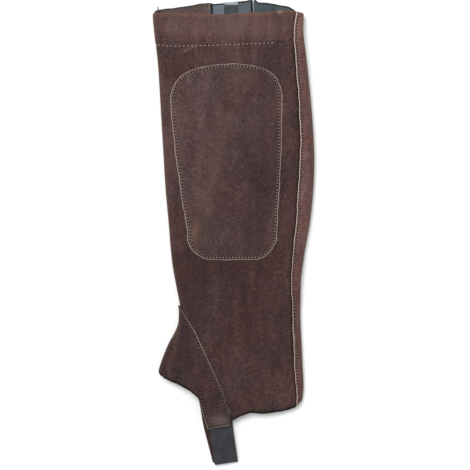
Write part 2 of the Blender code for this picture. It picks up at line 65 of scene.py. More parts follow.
# The two folds, the height at the crown and the radius of the folds, from over the mouth to the foot.
STATIONS = np.array(
    [  # y, shin, calf, height, fold
        (262, -88, 75.4, 25, 8.6), (240, -88.4, 75.6, 24.5, 8.5), (223, -87, 76.4, 24, 8.3),
        (188, -82.8, 80.3, 23, 8), (152, -80.3, 84.3, 22, 7.8), (117, -78.4, 87.4, 21, 7.6),
        (82, -76.2, 88.8, 20, 7.4), (47, -74, 87.6, 19.2, 7.2), (12, -71, 84.2, 19.2, 7),
        (-24, -68, 78, 18.6, 6.6), (-59, -63.2, 73.6, 17.8, 6.2), (-88, -58.9, 71.8, 17, 5.6),
        (-100, -59.6, 72, 16.6, 5.3), (-111, -63.8, 72.4, 16.2, 5.2), (-120, -68.8, 72.8, 15.9, 5.1),
        (-138, -76.6, 73.6, 15.2, 5), (-151, -80.8, 74.2, 14.8, 4.9), (-170, -83, 74.8, 14.8, 4.8),
        (-186, -83.5, 73.4, 14.8, 4.6), (-200, -84, 72.5, 13.7, 4.2), (-215, -84, 72, 8.4, 3.8),
        (-262, -84, 72, 8, 3.8),
    ]
)
SUEDE_EDGE = np.array(  # y, x
    [(262.0, -27.0), (150.0, -20.0), (82.0, -14.0), (-24.0, -4.0), (-85.0, 3.0), (-200.0, 12.0)]
)
CALF_SEAM = np.array(
    [  # y, x
        (240, 68.3), (218, 66.4), (175, 69.2), (125, 72.5), (99, 73.3), (79, 72.9), (57, 71.4),
        (19, 69.4), (-6, 67), (-42, 63.7), (-92, 65), (-139, 66.6), (-182, 69.5),
    ]
)
INNER_TOP = np.array(
    [  # x, y
        (-88.5, 239.8), (-80, 238.4), (-42, 237.4), (-15, 236.4), (8, 237.4), (35, 239),
        (55, 241.2), (67, 240.6), (75.6, 239),
    ]
)
OUTER_TOP = np.array(
    [  # x, y
        (-88.5, 239.8), (-86, 243.4), (-78, 244.8), (-47, 249.2), (-27, 252.1), (-21, 250.6),
        (-8, 252), (13, 253.4), (19, 254.8), (24.6, 254.8), (27, 252.6), (41, 251.4), (62, 247),
        (70, 242.4), (75.6, 239),
    ]
)
HEM = np.array(
    [  # x, y
        (-6, -207.5), (-2.4, -206.2), (7.5, -200.8), (18.5, -197), (37, -197.4), (60, -194.4),
        (68, -191), (73, -183.6), (75.6, -175),
    ]
)
FOOT_SEAM = np.array(
    [  # x, y
        (-60.5, -78.5), (-51.6, -92.2), (-41.6, -108.3), (-30.8, -131.8), (-19, -157.2),
        (-10.9, -175.2), (-4.4, -193.6), (-1.8, -200.2),
    ]
)
SCUFF = np.array([(-54.1, 196.4), (-43.1, 201.9)])
HEM_STITCH = np.array(
    [  # x, y
        (-88, 205.4), (-71, 202.9), (-44, 202.7), (-26, 202.7), (-6, 203.6), (11, 204.4),
        (28, 205.1), (40, 205.9), (57, 208.3),
    ]
)

# Creases of the hide: where the middle of each lies, the way it runs, how long and wide it is, and how
# high it stands (a ridge) or how deep it sinks (a trough).
CREASES = np.array(
    [  # x, y, degrees, half length, half width, height
        (-10, -142, -62, 34, 5, 0.9), (2, -128, -66, 42, 6.5, -0.8), (-38, -84, 18, 30, 6, -0.9),
        (-30, -70, 12, 36, 7, 0.8), (34, -92, -8, 34, 9, -0.8), (42, -66, 6, 30, 10, 0.7),
        (-66, -128, 78, 30, 4.2, 1.1), (-60, -146, 70, 22, 3.6, -0.7), (-52, -150, -28, 20, 4, 0.6),
        (-64, 40, 88, 90, 7, -0.7), (60, 176, 84, 60, 7, -0.9), (61, 40, 92, 70, 8, -0.6),
        (20, -160, 64, 26, 7, 0.6), (46, -150, 98, 34, 8, -0.7), (-66, 186, 60, 26, 6, -0.7),
        (-20, 190, 4, 60, 6, -0.6), (30, 222, -6, 30, 7, 0.5), (-52, 220, 70, 18, 6, 0.5),
    ]
)


def curve_through(at, table, column=1):
    """A curve through a table's rows: between two rows it is the cubic that has, at each of them, the
    slope of the line from the row before to the row after."""
    table = table[np.argsort(table[:, 0])]
    places, values = table[:, 0], table[:, column]
    slopes = np.gradient(values, places)
    at = np.clip(at, places[0], places[-1])
    row = np.clip(np.searchsorted(places, at) - 1, 0, len(places) - 2)
    width = places[row + 1] - places[row]
    t = (at - places[row]) / width
    start, end = values[row], values[row + 1]
    rise_start, rise_end = slopes[row] * width, slopes[row + 1] * width
    bend = 2 * (start - end) + rise_start + rise_end
    return start + t * (rise_start + t * (3 * (end - start) - 2 * rise_start - rise_end + t * bend))


def line(table):
    """An edge cut across the leg: straight runs between the table's points, as y at x."""
    return lambda x: np.interp(x, table[:, 0], table[:, 1])


def ease(t):
    """0 to 1 with level ends: three times t squared less two times t cubed."""
    t = np.clip(t, 0, 1)
    return t * t * (3 - 2 * t)


def hump(distance, width):
    """1 at no distance, falling off as the exponential of less the square of distance over width."""
    return np.exp(-((distance / width) ** 2))


def station(y):
    """The shin fold, the calf fold, the crown's height and the folds' radius at y."""
    return (curve_through(y, STATIONS, column) for column in range(1, 5))


def quarter_turn(y):
    """Skin distance round a quarter of a fold."""
    _, _, _, fold = station(y)
    return math.pi / 2 * fold


def skin_length(y):
    """Skin distance over one side: the flat width, and a quarter turn in place of a radius at each end."""
    shin, calf, _, fold = station(y)
    return calf - shin + (math.pi - 2) * fold


def skin(m, y, out=0.0):
    """Points of the tube at a skin distance m from the shin fold, plus over the upper side and minus over
    the lower one, moved out along the tube's normal. A side is a quarter circle, a run that is flat
    below and a parabola above, and a quarter circle again. A distance past the calf fold comes round onto
    the lower side."""
    shin, calf, height, fold = station(y)
    length = calf - shin + (math.pi - 2) * fold
    m = np.where(m > length, m - 2 * length, m)
    side = np.where(m < 0, -1.0, 1.0)
    half = np.where(np.abs(m) <= length / 2, 1.0, -1.0)
    near = np.where(half > 0, np.abs(m), length - np.abs(m))
    turn = np.clip(near / fold, 0, math.pi / 2)
    from_fold = fold * (1 - np.cos(turn)) + np.maximum(near - fold * math.pi / 2, 0)
    x = np.where(half > 0, shin + from_fold, calf - from_fold)
    across = (2 * x - shin - calf) / (calf - shin)
    crown = np.where(side > 0, height - 2 * fold, 0)
    z = fold + side * fold * np.sin(turn) + crown * (1 - across**2)
    along_x = np.sin(turn)
    along_z = side * half * np.cos(turn) - 4 * crown * across / (calf - shin) * along_x
    size = np.hypot(along_x, along_z)
    x = x - side * out * along_z / size
    z = z + side * out * along_x / size
    return np.stack(np.broadcast_arrays(x, y, z), axis=-1)


def skin_at(x, y):
    """Skin distance from the shin fold of what lies at x in plan, the inverse of skin on one side."""
    shin, calf, _, fold = station(y)
    from_shin = x - shin <= calf - x
    plan = np.maximum(np.where(from_shin, x - shin, calf - x), 0)
    bend = fold * np.arccos(1 - np.minimum(plan / fold, 1))
    near = bend + np.maximum(plan - fold, 0)
    return np.where(from_shin, near, skin_length(y) - near)


def upper_share(m, y):
    """1 over the upper side and 0 over the lower side, eased round both folds."""
    length = skin_length(y)
    m = np.where(m > length, m - 2 * length, m)
    side = np.where(m < 0, -1.0, 1.0)
    near = np.minimum(np.abs(m), length - np.abs(m))
    quarter = quarter_turn(y)
    return ease((side * near + quarter) / (2 * quarter))


def round_shin(m, y):
    """1 over the upper side and 0 over the lower side, eased round the shin fold alone."""
    quarter = quarter_turn(y)
    return ease((m + quarter) / (2 * quarter))


def creased(x, y):
    """Height of the hide's creases and of its slow unevenness. A crease is a hump across its width that
    fades to nothing at its ends, as one less the square of the place along it, squared."""
    total = 0.35 * np.sin(x / 17 + y / 60) * np.sin(y / 31 + 1.0) + 0.2 * np.sin(x / 9 - y / 23)
    for middle_x, middle_y, degrees, length, width, height in CREASES:
        turn = math.radians(degrees)
        along = (x - middle_x) * math.cos(turn) + (y - middle_y) * math.sin(turn)
        across = (y - middle_y) * math.cos(turn) - (x - middle_x) * math.sin(turn)
        total = total + height * hump(across, width) * np.clip(1 - (along / length) ** 2, 0, 1) ** 2
    return total


def draped(m, y, out=0.0):
    """Points of the tube moved out, with the hide's creases over the upper side."""
    x = skin(m, y)[..., 0]
    return skin(m, y, out + creased(x, y) * upper_share(m, y))


def meet(columns, edge):
    """The y at which each column of skin distances crosses an edge line, found by halving 40 times."""
    count = columns(0.0).shape
    low, high = np.full(count, -300.0), np.full(count, 300.0)
    for _ in range(40):
        middle = (low + high) / 2
        m = columns(middle)
        outer = (m < 0) | (m > skin_length(middle))
        above = middle > edge(skin(m, middle)[..., 0], outer)
        low, high = np.where(above, low, middle), np.where(above, middle, high)
    return low


def uneven(at, size):
    """How far a cut made by hand wanders from its line: three sines whose periods share no factor."""
    return size * (0.5 * np.sin(at / 7.3) + 0.3 * np.sin(at / 3.1 + 1) + 0.2 * np.sin(at / 1.9 + 2))


def inner_seam(y):
    """Skin distance of the back strip's edge on the inner side."""
    return skin_at(curve_through(y, CALF_SEAM), y) + uneven(y, 0.5)


def above_foot(y):
    """How far the outer side's panels have climbed onto the foot panel's edge."""
    start, end = ANKLE_RISE
    return STEP_UP * ease((start - y) / (start - end))


def cut_edge(outer_path, inner_path, wander):
    """An edge cut across the leg, along one path on the outer side and another on the inner side."""
    return lambda x, outer: np.where(outer, line(outer_path)(x), line(inner_path)(x)) + uneven(x, wander)


top_edge = cut_edge(OUTER_TOP, INNER_TOP, 0.5)  # the mouth, which is cut higher on the outer side


def hem_edge(x, outer):
    """The hem behind the strap, which is a little shorter on the outer side."""
    return line(HEM)(x) + np.where(outer, OUTER_HEM_RISE, 0.0) + uneven(x, 0.6)


def spread(length, step, fine=(), fine_end=()):
    """Shares from 0 to 1 over a length: even steps, with extra places at set distances from each end."""
    count = int(round(length / step)) + 1
    places = np.linspace(0, 1, count)
    near = np.array(fine) / length
    far = 1 - np.array(fine_end) / length
    low = near.max() * 1.3 if len(near) else -1
    high = 1 - (1 - far.min()) * 1.3 if len(far) else 2
    middle = places[(places > low) & (places < high)]
    return np.unique(np.concatenate([[0, 1], near, middle, far]))


def distance_to(points, path):
    """How far each of the points (x, y) lies from a path of straight runs: the least over the runs of the
    distance to the nearest place on the run."""
    nearest = np.full(points.shape[:-1], np.inf)
    for start, end in zip(path[:-1], path[1:]):
        run = end - start
        share = np.clip(((points - start) @ run) / (run @ run), 0, 1)
        nearest = np.minimum(nearest, np.linalg.norm(points - start - share[..., None] * run, axis=-1))
    return nearest


def add_mesh(name, points, faces, finishes, uv=None, attributes=()):
    """A mesh object from points in millimetres and lists of faces. It is turned the right way out by the
    sign of its volume, the sum of its corners' triple products over triangles."""
    mesh = bpy.data.meshes.new(name)
    mesh.from_pydata((points * MM).tolist(), [], [face for group in faces for face in group.tolist()])
    for attribute, values in dict(attributes).items():
        made = mesh.attributes.new(attribute, "FLOAT", "POINT")
        made.data.foreach_set("value", np.asarray(values, np.float32))
    if uv is not None:
        corners = np.zeros(len(mesh.loops), np.int32)
        mesh.loops.foreach_get("vertex_index", corners)
        mesh.uv_layers.new(name="cloth").data.foreach_set("uv", (uv[corners] * MM).astype(np.float32).ravel())
    volume = 0.0
    for group in faces:
        first = points[group[:, 0]]
        for k in range(1, group.shape[1] - 1):
            volume += np.einsum("ij,ij->", first, np.cross(points[group[:, k]], points[group[:, k + 1]]))
    if volume < 0:
        mesh.flip_normals()
    mesh.shade_smooth()
    for finish in finishes:
        mesh.materials.append(finish)
    made = bpy.data.objects.new(name, mesh)
    bpy.context.scene.collection.objects.link(made)
    return made


# A raw edge's paleness falls from the rim's top ring to its lowest: painted shade under the edge, since a cut
# edge is pale all through.
RIM = ((0.12, 0.6, 1.0), (0.5, 1.0, 0.6), (0.88, 0.6, 0.25))  # depth in the wall, roll, paleness, as shares


def add_cloth(name, finish, m, y, out, thickness, roll=CUT_ROLL, attributes=(), inner=(), place=draped):
    """A closed wall of cloth on a grid of skin distances and heights. Its rim is a half round: three
    rings between the outer and the inner border, each moved away from the border's inner neighbour. What
    inner holds is added to the attributes of the inner face."""
    rows, columns = y.shape
    m, out, thickness, roll = (np.broadcast_to(value, y.shape) for value in (m, out, thickness, roll))
    count = rows * columns
    index = np.arange(count).reshape(rows, columns)
    face = np.stack([index[:-1, :-1], index[1:, :-1], index[1:, 1:], index[:-1, 1:]], -1).reshape(-1, 4)
    rim = np.concatenate([index[0, :-1], index[:-1, -1], index[-1, :0:-1], index[:0:-1, 0]])
    row, column = np.divmod(rim, columns)
    inside = np.clip(row, 1, rows - 2) * columns + np.clip(column, 1, columns - 2)
    flat_m, flat_y, flat_out = m.ravel(), y.ravel(), out.ravel()
    away = np.stack([flat_m[rim] - flat_m[inside], flat_y[rim] - flat_y[inside]])
    away = away / np.linalg.norm(away, axis=0)
    points = [place(m, y, out).reshape(-1, 3)]
    uv = [np.stack([flat_m, flat_y], -1)]
    for depth, bulge, _ in RIM:
        ring_m = flat_m[rim] + away[0] * bulge * roll.ravel()[rim]
        ring_y = flat_y[rim] + away[1] * bulge * roll.ravel()[rim]
        points.append(place(ring_m, ring_y, flat_out[rim] - depth * thickness.ravel()[rim]))
        uv.append(np.stack([ring_m, ring_y], -1))
    points.append(place(m, y, out - thickness).reshape(-1, 3))
    uv.append(uv[0])
    first_back = count + len(RIM) * len(rim)
    rings = [rim] + [count + k * len(rim) + np.arange(len(rim)) for k in range(len(RIM))] + [rim + first_back]
    sides = [np.stack([a, np.roll(a, -1), np.roll(b, -1), b], -1) for a, b in zip(rings[:-1], rings[1:])]
    values = {}
    for key, value in dict(attributes).items():
        value = np.broadcast_to(value, y.shape).ravel()
        # The paleness fades down the rim as painted shade under the edge.
        fades = [value[rim] * (pale if key == "edge" else 1) for _, _, pale in RIM]
        back = value + np.broadcast_to(dict(inner).get(key, 0.0), y.shape).ravel()
        values[key] = np.concatenate([value, *fades, back])
    faces = [face, face[:, ::-1] + first_back] + sides
    return add_mesh(name, np.concatenate(points), faces, [finish], np.concatenate(uv), values)


def linear(colour):
    """An sRGB hex colour as linear RGBA: a channel c is c / 12.92 up to 0.04045, and above that
    (c + 0.055) / 1.055 to the power 2.4."""
    channels = [int(colour[k : k + 2], 16) / 255 for k in (1, 3, 5)]
    return [*(c / 12.92 if c <= 0.04045 else ((c + 0.055) / 1.055) ** 2.4 for c in channels), 1.0]


def add_node(tree, kind, inputs=(), links=(), out=0, **settings):
    """Adds a node, with its settings, its inputs' values and the sockets that feed them, and gives back
    one of its outputs."""
    made = tree.nodes.new(kind)
    for name, value in settings.items():
        setattr(made, name, value)
    for socket, value in dict(inputs).items():
        made.inputs[socket].default_value = value
    for socket, source in dict(links).items():
        tree.links.new(source, made.inputs[socket])
    return made.outputs[out]


def new_material(name):
    """An empty node material: its nodes, its surface shader, which is linked already, and itself."""
    made = bpy.data.materials.new(name)
    made.use_nodes = True
    return made.node_tree, made.node_tree.nodes["Principled BSDF"], made


# Suede is the split flesh side of the hide, sanded to a nap of short fibres: no gloss, a faint sheen at
# a glancing angle, cloudy marks where the nap has been brushed the other way, and pale raw edges where
# the dye has not soaked in. Its fibres are a tenth of a millimetre across and clump at a millimetre,
# both too fine to show, so the nap is drawn at 1.3 mm and its clumps at 3.2 mm.
CLOUD_SIZE, STREAK_SIZE, SPECKLE_SIZE, NAP_SIZE, AGED_SIZE = 48.0, 12.0, 3.2, 1.3, 31.0
RAW_EDGE = "#cdbbb0"
WORN_SUEDE = "#6d5043"
# The ramp's darkest end is painted shade: the dark bands along the hems and beside the back strip's seam
# reach it.
PAINTED_SHADE = "#131211"  # along the hems
RUST, MOSS = (1.06, 0.97, 0.955, 1.0), (0.96, 1.01, 1.01, 1.0)  # tints where the dye has aged unevenly


def suede(name, dark, middle, light):
    """The tone is a half, plus the piece's own, which holds its clouds and its painted shade, plus four
    noises less their mean of a half, each times its weight. The tone times 0.68 plus 0.06 is the place on
    a ramp of colours whose darkest end is painted shade, and over those come two tints, wear and the
    pale edges. The height is the streaks, 0.6 of the nap and 0.5 of its clumps."""
    tree, shader, made = new_material(name)
    place = add_node(tree, "ShaderNodeTexCoord", out="Object")
    brushed = add_node(tree, "ShaderNodeMapping", {"Scale": (1, 0.33, 1)}, {"Vector": place})
    noises = []
    for size, detail, source, distortion in (
        (CLOUD_SIZE, 3, brushed, 0.6), (STREAK_SIZE, 4, brushed, 0.4), (SPECKLE_SIZE, 3, place, 0.0),
        (NAP_SIZE, 2, place, 0.0), (AGED_SIZE, 3, place, 0.5),
    ):
        values = {"Scale": 1 / (size * MM), "Detail": detail, "Roughness": 0.6, "Distortion": distortion}
        noises.append(add_node(tree, "ShaderNodeTexNoise", values, {"Vector": source}))
    cloud, streak, speckle, nap, aged = noises
    keys = ("tone", "worn", "edge")
    tone, worn, edge = (add_node(tree, "ShaderNodeAttribute", out="Fac", attribute_name=key) for key in keys)

    weights = ((cloud, 0.7), (streak, 0.75), (speckle, 0.95), (nap, 0.95))
    mean = sum(weight for _, weight in weights) / 2
    tone = add_node(tree, "ShaderNodeMath", {1: 0.5 - mean}, {0: tone}, operation="ADD")
    for source, weight in weights:
        tone = add_node(tree, "ShaderNodeMath", {1: weight}, {0: source, 2: tone}, operation="MULTIPLY_ADD")
    tone = add_node(tree, "ShaderNodeMath", {1: 0.68, 2: 0.06}, {0: tone}, operation="MULTIPLY_ADD")
    colour = add_node(tree, "ShaderNodeValToRGB", links={"Fac": tone})
    stops = colour.node.color_ramp.elements
    stops[0].color = linear(PAINTED_SHADE)
    stops[1].color = [2 * high - low for low, high in zip(linear(middle), linear(light))]
    stops[1].position = 0.92
    for position, shade in ((0.14, dark), (0.40, middle), (0.66, light)):
        stops.new(position).color = linear(shade)

    aged = add_node(tree, "ShaderNodeMapRange", {1: 0.40, 2: 0.60}, {0: aged})
    tint = add_node(tree, "ShaderNodeMix", {6: MOSS, 7: RUST}, {0: aged}, out=2, data_type="RGBA")
    colour = add_node(
        tree, "ShaderNodeMix", {0: 1.0}, {6: colour, 7: tint}, out=2, data_type="RGBA", blend_type="MULTIPLY"
    )
    worn = add_node(tree, "ShaderNodeMath", links={0: worn, 1: streak}, operation="MULTIPLY")
    patchy = add_node(tree, "ShaderNodeMath", {1: 1.1, 2: 0.4}, {0: speckle}, operation="MULTIPLY_ADD")
    edge = add_node(tree, "ShaderNodeMath", links={0: edge, 1: patchy}, operation="MULTIPLY", use_clamp=True)
    for share, shade in ((worn, WORN_SUEDE), (edge, RAW_EDGE)):
        links = {0: share, 6: colour}
        colour = add_node(tree, "ShaderNodeMix", {7: linear(shade)}, links, out=2, data_type="RGBA")
    height = streak
    for source, weight in ((nap, 0.6), (speckle, 0.5)):
        links = {0: source, 2: height}
        height = add_node(tree, "ShaderNodeMath", {1: weight}, links, operation="MULTIPLY_ADD")
    bump = add_node(tree, "ShaderNodeBump", {"Strength": 0.55, "Distance": 0.5 * MM}, {"Height": height})
    tree.links.new(colour, shader.inputs["Base Color"])
    tree.links.new(bump, shader.inputs["Normal"])
    shader.inputs["Roughness"].default_value = 0.95
    shader.inputs["Specular IOR Level"].default_value = 0.15
    shader.inputs["Sheen Weight"].default_value = 0.18
    shader.inputs["Sheen Roughness"].default_value = 0.55
    shader.inputs["Sheen Tint"].default_value = linear("#c9a892")
    return made


# Clouds in the hide's colour: where each lies, how far it reaches, and how much lighter it is.
CLOUDS = np.array(
    [  # x, y, reach in x, reach in y, tone
        (0, 223, 120, 17, 0.50), (0, 190, 120, 10, 0.14), (-66, 190, 22, 14, -0.16),
        (60, 120, 10, 80, 0.16), (-70, 100, 12, 110, 0.10), (-40, 90, 20, 80, 0.10),
        (24, 90, 24, 80, -0.11), (-10, -42, 50, 26, -0.08), (40, -120, 26, 60, -0.04),
        (-5, -146, 8, 26, 0.10), (44, -176, 34, 16, 0.10), (-69.5, 226, 4, 12, 0.18),
        (-61, 229, 3, 8, 0.12), (40.5, 222, 4, 14, 0.16), (12, 228, 5, 9, 0.10),
    ]
)


def cloudy(x, y):
    """The sum of the clouds, each a hump in x times a hump in y."""
    return sum(tone * hump(x - at_x, in_x) * hump(y - at_y, in_y) for at_x, at_y, in_x, in_y, tone in CLOUDS)


panel_suede = suede("brown suede, napped", "#2a1d1c", "#3a2928", "#503c3b")
main_shares = spread(272.0, 1.55, fine=(0.45, 1.0, 2.0), fine_end=(0.6, 1.5))


def main_columns(y):
    """From the raw edge by the elastic, round the shin, to a lap past the calf seam. The lap is less
    where the fold is near."""
    start = -skin_at(curve_through(y, SUEDE_EDGE), y)
    seam = inner_seam(y)
    end = seam + np.minimum(LAP, 0.6 * (skin_length(y) - seam))
    return start + (end - start) * main_shares


def main_bottom(x, outer):
    """The hem, or a lap past the foot panel's seam where that lies higher."""
    foot = line(FOOT_SEAM)(x + LAP)
    hem = hem_edge(x, outer)
    return np.where(x + LAP < FOOT_SEAM[-1, 0], np.maximum(foot, hem), hem)


def main_out(m, y):
    """The outer side climbs onto the foot panel, and nothing else lifts the main panel."""
    return above_foot(y) * (round_shin(m, y) - 1)


# Rows are close together round the mouth's fold, the hem's stitches and cut, and the bottom edge. The
# stitches pull a groove into the hide, and the doubled hem puffs up between them and the mouth.
top = meet(main_columns, top_edge) - HEM_ROLL + CUT_ROLL
bottom = meet(main_columns, main_bottom)
in_hem = np.array([0, 0.8, 2, 4, 7, 10, 13, 16, 19, 22, 25, 28, 30, 31.2, 32.2, 33, 33.7, 34.4, 35.2])
rows = [top - depth for depth in in_hem]
below_hem = np.concatenate([[0.003, 0.006], spread(405.0, 2.0, fine_end=(0.5, 1.2, 2.4))[2:]])
rows += [top - in_hem[-1] + share * (bottom - top + in_hem[-1]) for share in below_hem]
y = np.array(rows)
m = main_columns(y)
flat = skin(m, y)
stitched = distance_to(flat[..., :2], HEM_STITCH)
stitched = np.where(m < 0, np.abs(top - y - HEM_DEPTH + SEAM_FROM_CUT), stitched)
turned = (top - y < HEM_DEPTH - 1) & (m > m[:, :1] + 0.2)
puffed = 0.5 * ease((top - y) / 6) * ease((HEM_DEPTH - 1.5 - top + y) / 5) * upper_share(m, y)
out = main_out(m, y) - 0.55 * hump(stitched, 1.3) * upper_share(m, y) + puffed
scuffed = distance_to(flat[..., :2], SCUFF) + 50.0 * (m < 0)  # on the upper side alone
main_panel = add_cloth(
    "main_panel_suede",
    panel_suede,
    m,
    y,
    out,
    SUEDE + (SUEDE - HEM_CREASE) * turned,
    roll=np.where(top - y < HEM_DEPTH / 2, HEM_ROLL, CUT_ROLL),
    attributes={
        "tone": cloudy(flat[..., 0], y)
        # Painted shade: a dark band along the hem, and a painted shadow beside the back strip's lapped edge.
        - 1.2 * hump(y - bottom, 2.0)
        - 0.9 * hump(m - inner_seam(y), 1.5)
        - 0.6 * hump(top - y, 0.8) * (m < 0),
        "edge": 0.6 * hump(m - m[:, :1], 0.4)
        + 0.08 * hump(scuffed, 1.0)
        + 0.35 * hump(flat[..., 0] - 50.4, 2.0) * hump(top - y, 1.5) * (m > 0),
        "worn": 0.9 * hump(top - y, 3.0) * (m > 0) + 0.4 * hump(m, 5.0) + 0.35 * hump(scuffed, 1.7),
    },
    inner={"edge": 0.08 * (top - y < HEM_DEPTH)},
)
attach(main_panel, "gaiter")
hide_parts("main_panel")

# Sewing thread: twisted polyester, matt, in four shades: clean, soiled, a grey-green mend and black. It
# dives into the hide at both ends of each stitch. Real thread is about 0.3 mm thick and its plies turn
# every 0.4 mm, too fine to show, so it is drawn about twice as thick, with a mottle of 1.1 mm.
PITCH = 3.5
THREAD_RADIUS = 0.34
THREAD_SHARE = 0.42  # of the pitch that shows
RISE = 0.32  # of a stitch's middle over the cloth
SINK = 0.35  # of its ends below the cloth
PLY = 1.1


def sewing_thread(name, dark, light):
    """A noise the size of a ply's turn, between the thread's shade and its lit side."""
    tree, shader, made = new_material(name)
    place = add_node(tree, "ShaderNodeTexCoord", out="Object")
    twist = add_node(tree, "ShaderNodeTexNoise", {"Scale": 1 / (PLY * MM), "Detail": 2.0}, {"Vector": place})
    colour = add_node(tree, "ShaderNodeValToRGB", links={"Fac": twist})
    stops = colour.node.color_ramp.elements
    stops[0].color = linear(dark)
    stops[1].color = linear(light)
    tree.links.new(colour, shader.inputs["Base Color"])
    shader.inputs["Roughness"].default_value = 0.7
    return made


pale_thread = sewing_thread("grey-beige polyester thread", "#7d7169", "#c6bab0")
worn_thread = sewing_thread("polyester thread, soiled brown", "#5f4e47", "#95837a")
green_thread = sewing_thread("grey-green polyester thread", "#4b504b", "#858c84")
dark_thread = sewing_thread("black polyester thread", "#1c1b1b", "#35322f")

# A needle's hole is a pit in the hide that hardly any light leaves, so it is near black, with no gloss.
# It is drawn up to 2.3 mm long, about twice its real size, so that it shows.
tree, shader, needle_hole = new_material("needle hole in suede")
shader.inputs["Base Color"].default_value = linear("#0f0a09")
shader.inputs["Roughness"].default_value = 1.0


def tube_faces(rings, corners):
    """The faces of a tube, ring by ring: its four-cornered sides, then its two ends."""
    index = np.arange(rings * corners).reshape(rings, corners)
    after = np.roll(index, -1, 1)
    sides = np.stack([index[:-1], after[:-1], after[1:], index[1:]], -1).reshape(-1, 4)
    return sides, np.stack([index[0, ::-1], index[-1]])


def repeated(groups, copies, size, first=0):
    """A shape's groups of faces for each of its copies, whose points follow each other, size at a time."""
    start = first + np.arange(copies)[:, None, None] * size
    return [(group + start).reshape(-1, group.shape[1]) for group in groups]


def add_stitches(
    name, m, y, out, pitch=PITCH, share=THREAD_SHARE, hole=1.0, closed=False, place=draped, finish=pale_thread
):
    """A row of stitches along a path on the cloth. Each is a tube of five rings of six corners, a little
    flatter than round. Its height is RISE times one less the square of the place along it, less SINK
    times that place's fourth power. Between each two, a flat double cone of eight corners is the
    needle's hole, 2.3 mm long and 1.9 mm wide, times hole."""
    m, y, out = (np.broadcast_to(value, np.shape(y)).astype(float) for value in (m, y, out))
    points = place(m, y, out)
    run = np.concatenate([[0], np.cumsum(np.linalg.norm(np.diff(points, axis=0), axis=1))])
    count = max(int(round(run[-1] / pitch)), 1)
    step = run[-1] / count

    def along(distance):
        """Points at distances along the path, and the points 1 mm over them."""
        at = [np.interp(distance, run, value) for value in (m, y, out)]
        return place(*at), place(at[0], at[1], at[2] + 1.0)

    def frame_at(distance):
        """Points at distances along the path, and the ways ahead, beside and up from each."""
        middle, over = along(distance)
        ahead = along(np.minimum(distance + 0.3, run[-1]))[0] - along(np.maximum(distance - 0.3, 0))[0]
        ahead /= np.linalg.norm(ahead, axis=-1, keepdims=True)
        up = over - middle
        up -= np.sum(up * ahead, -1, keepdims=True) * ahead
        up /= np.linalg.norm(up, axis=-1, keepdims=True)
        return middle, np.stack([ahead, np.cross(up, ahead), up], 1)

    middle, axes = frame_at((np.arange(count) + 0.5) * step)
    reach = np.linspace(-1, 1, 5)
    turn = np.arange(6) * math.pi / 3
    size = THREAD_RADIUS * np.array([0.75, 1.0, 1.0, 1.0, 0.75])
    lift = RISE * (1 - reach**2) - SINK * reach**4
    ahead = (reach * share * step / 2)[:, None]
    beside = size[:, None] * np.cos(turn)
    up = lift[:, None] + size[:, None] * np.sin(turn) * 0.8
    tube = np.stack(np.broadcast_arrays(ahead, beside, up), -1)
    tubes = middle[:, None, None] + np.einsum("rsk,nkd->nrsd", tube, axes)
    faces = repeated(tube_faces(5, 6), count, 30)

    middle, axes = frame_at(np.arange(0 if closed else 1, count) * step)
    turn = np.arange(8) * math.pi / 4
    flat = np.stack([1.15 * hole * np.cos(turn), 0.95 * hole * np.sin(turn), np.full(8, 0.06)], -1)
    cones = np.concatenate([flat, [(0, 0, 0.12), (0, 0, -0.3)]])
    holes = middle[:, None] + np.einsum("sk,nkd->nsd", cones, axes)
    rim = np.arange(8)
    after = np.roll(rim, -1)
    cone = np.concatenate([np.stack([rim, after, rim * 0 + 8], -1), np.stack([after, rim, rim * 0 + 9], -1)])
    hole_faces = repeated([cone], len(middle), 10, first=tubes.size // 3)

    points = np.concatenate([tubes.reshape(-1, 3), holes.reshape(-1, 3)])
    made = add_mesh(name, points, faces + hole_faces, [finish, needle_hole])
    slots = np.zeros(len(made.data.polygons), np.int32)
    slots[-len(hole_faces[0]) :] = 1
    made.data.polygons.foreach_set("material_index", slots)
    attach(made, "gaiter")
    return made


def plan_path(table, spacing=1.0):
    """Points along a table of x and y, a set distance apart."""
    run = np.concatenate([[0], np.cumsum(np.linalg.norm(np.diff(table, axis=0), axis=1))])
    at = np.arange(0, run[-1], spacing)
    return np.interp(at, run, table[:, 0]), np.interp(at, run, table[:, 1])


# The hem's row starts by the calf seam and goes round the shin, 18 mm onto the outer side. There it
# climbs 4 mm and follows the mouth, and stops before the edge by the elastic. Its first 11 mm are
# mended in a grey-green thread, 0.2 mm deep. The rest lies 0.4 mm deep, and 0.5 mm on the outer side,
# so that little of the thread stands out of the face that the gaiter lies on.
TACK_FROM, ROUND_SHIN, OUTER_START, OUTER_CLIMB, LEFT_OFF = 46, -18.0, -68.0, 4.0, 6
seam_x, seam_y = plan_path(HEM_STITCH[::-1])
tacked = seam_x > TACK_FROM
tack_m = skin_at(seam_x, seam_y)[tacked]
hem_tack = add_stitches("hem_tack", tack_m, seam_y[tacked], -0.2, pitch=1.9, finish=green_thread)
seam_x, seam_y = seam_x[~tacked], seam_y[~tacked]
inner_m = skin_at(seam_x, seam_y)
seam_shin_y = np.full(12, seam_y[-1])
shin_m = np.linspace(inner_m[-1], ROUND_SHIN, 12)
outer_x, outer_y = plan_path(OUTER_TOP[3:5] - (0, HEM_DEPTH - SEAM_FROM_CUT))
outer_x = np.concatenate([[OUTER_START], outer_x[:-LEFT_OFF]])
outer_y = np.concatenate([[seam_y[-1] + OUTER_CLIMB], outer_y[:-LEFT_OFF]])
hem_m = np.concatenate([inner_m, shin_m[1:], -skin_at(outer_x, outer_y)])
hem_y = np.concatenate([seam_y, seam_shin_y[1:], outer_y])
hem_out = main_out(hem_m, hem_y) - 0.5 + 0.1 * upper_share(hem_m, hem_y)
hem_stitching = add_stitches("hem_stitching", hem_m, hem_y, hem_out, pitch=4.6, share=0.54, hole=0.55)

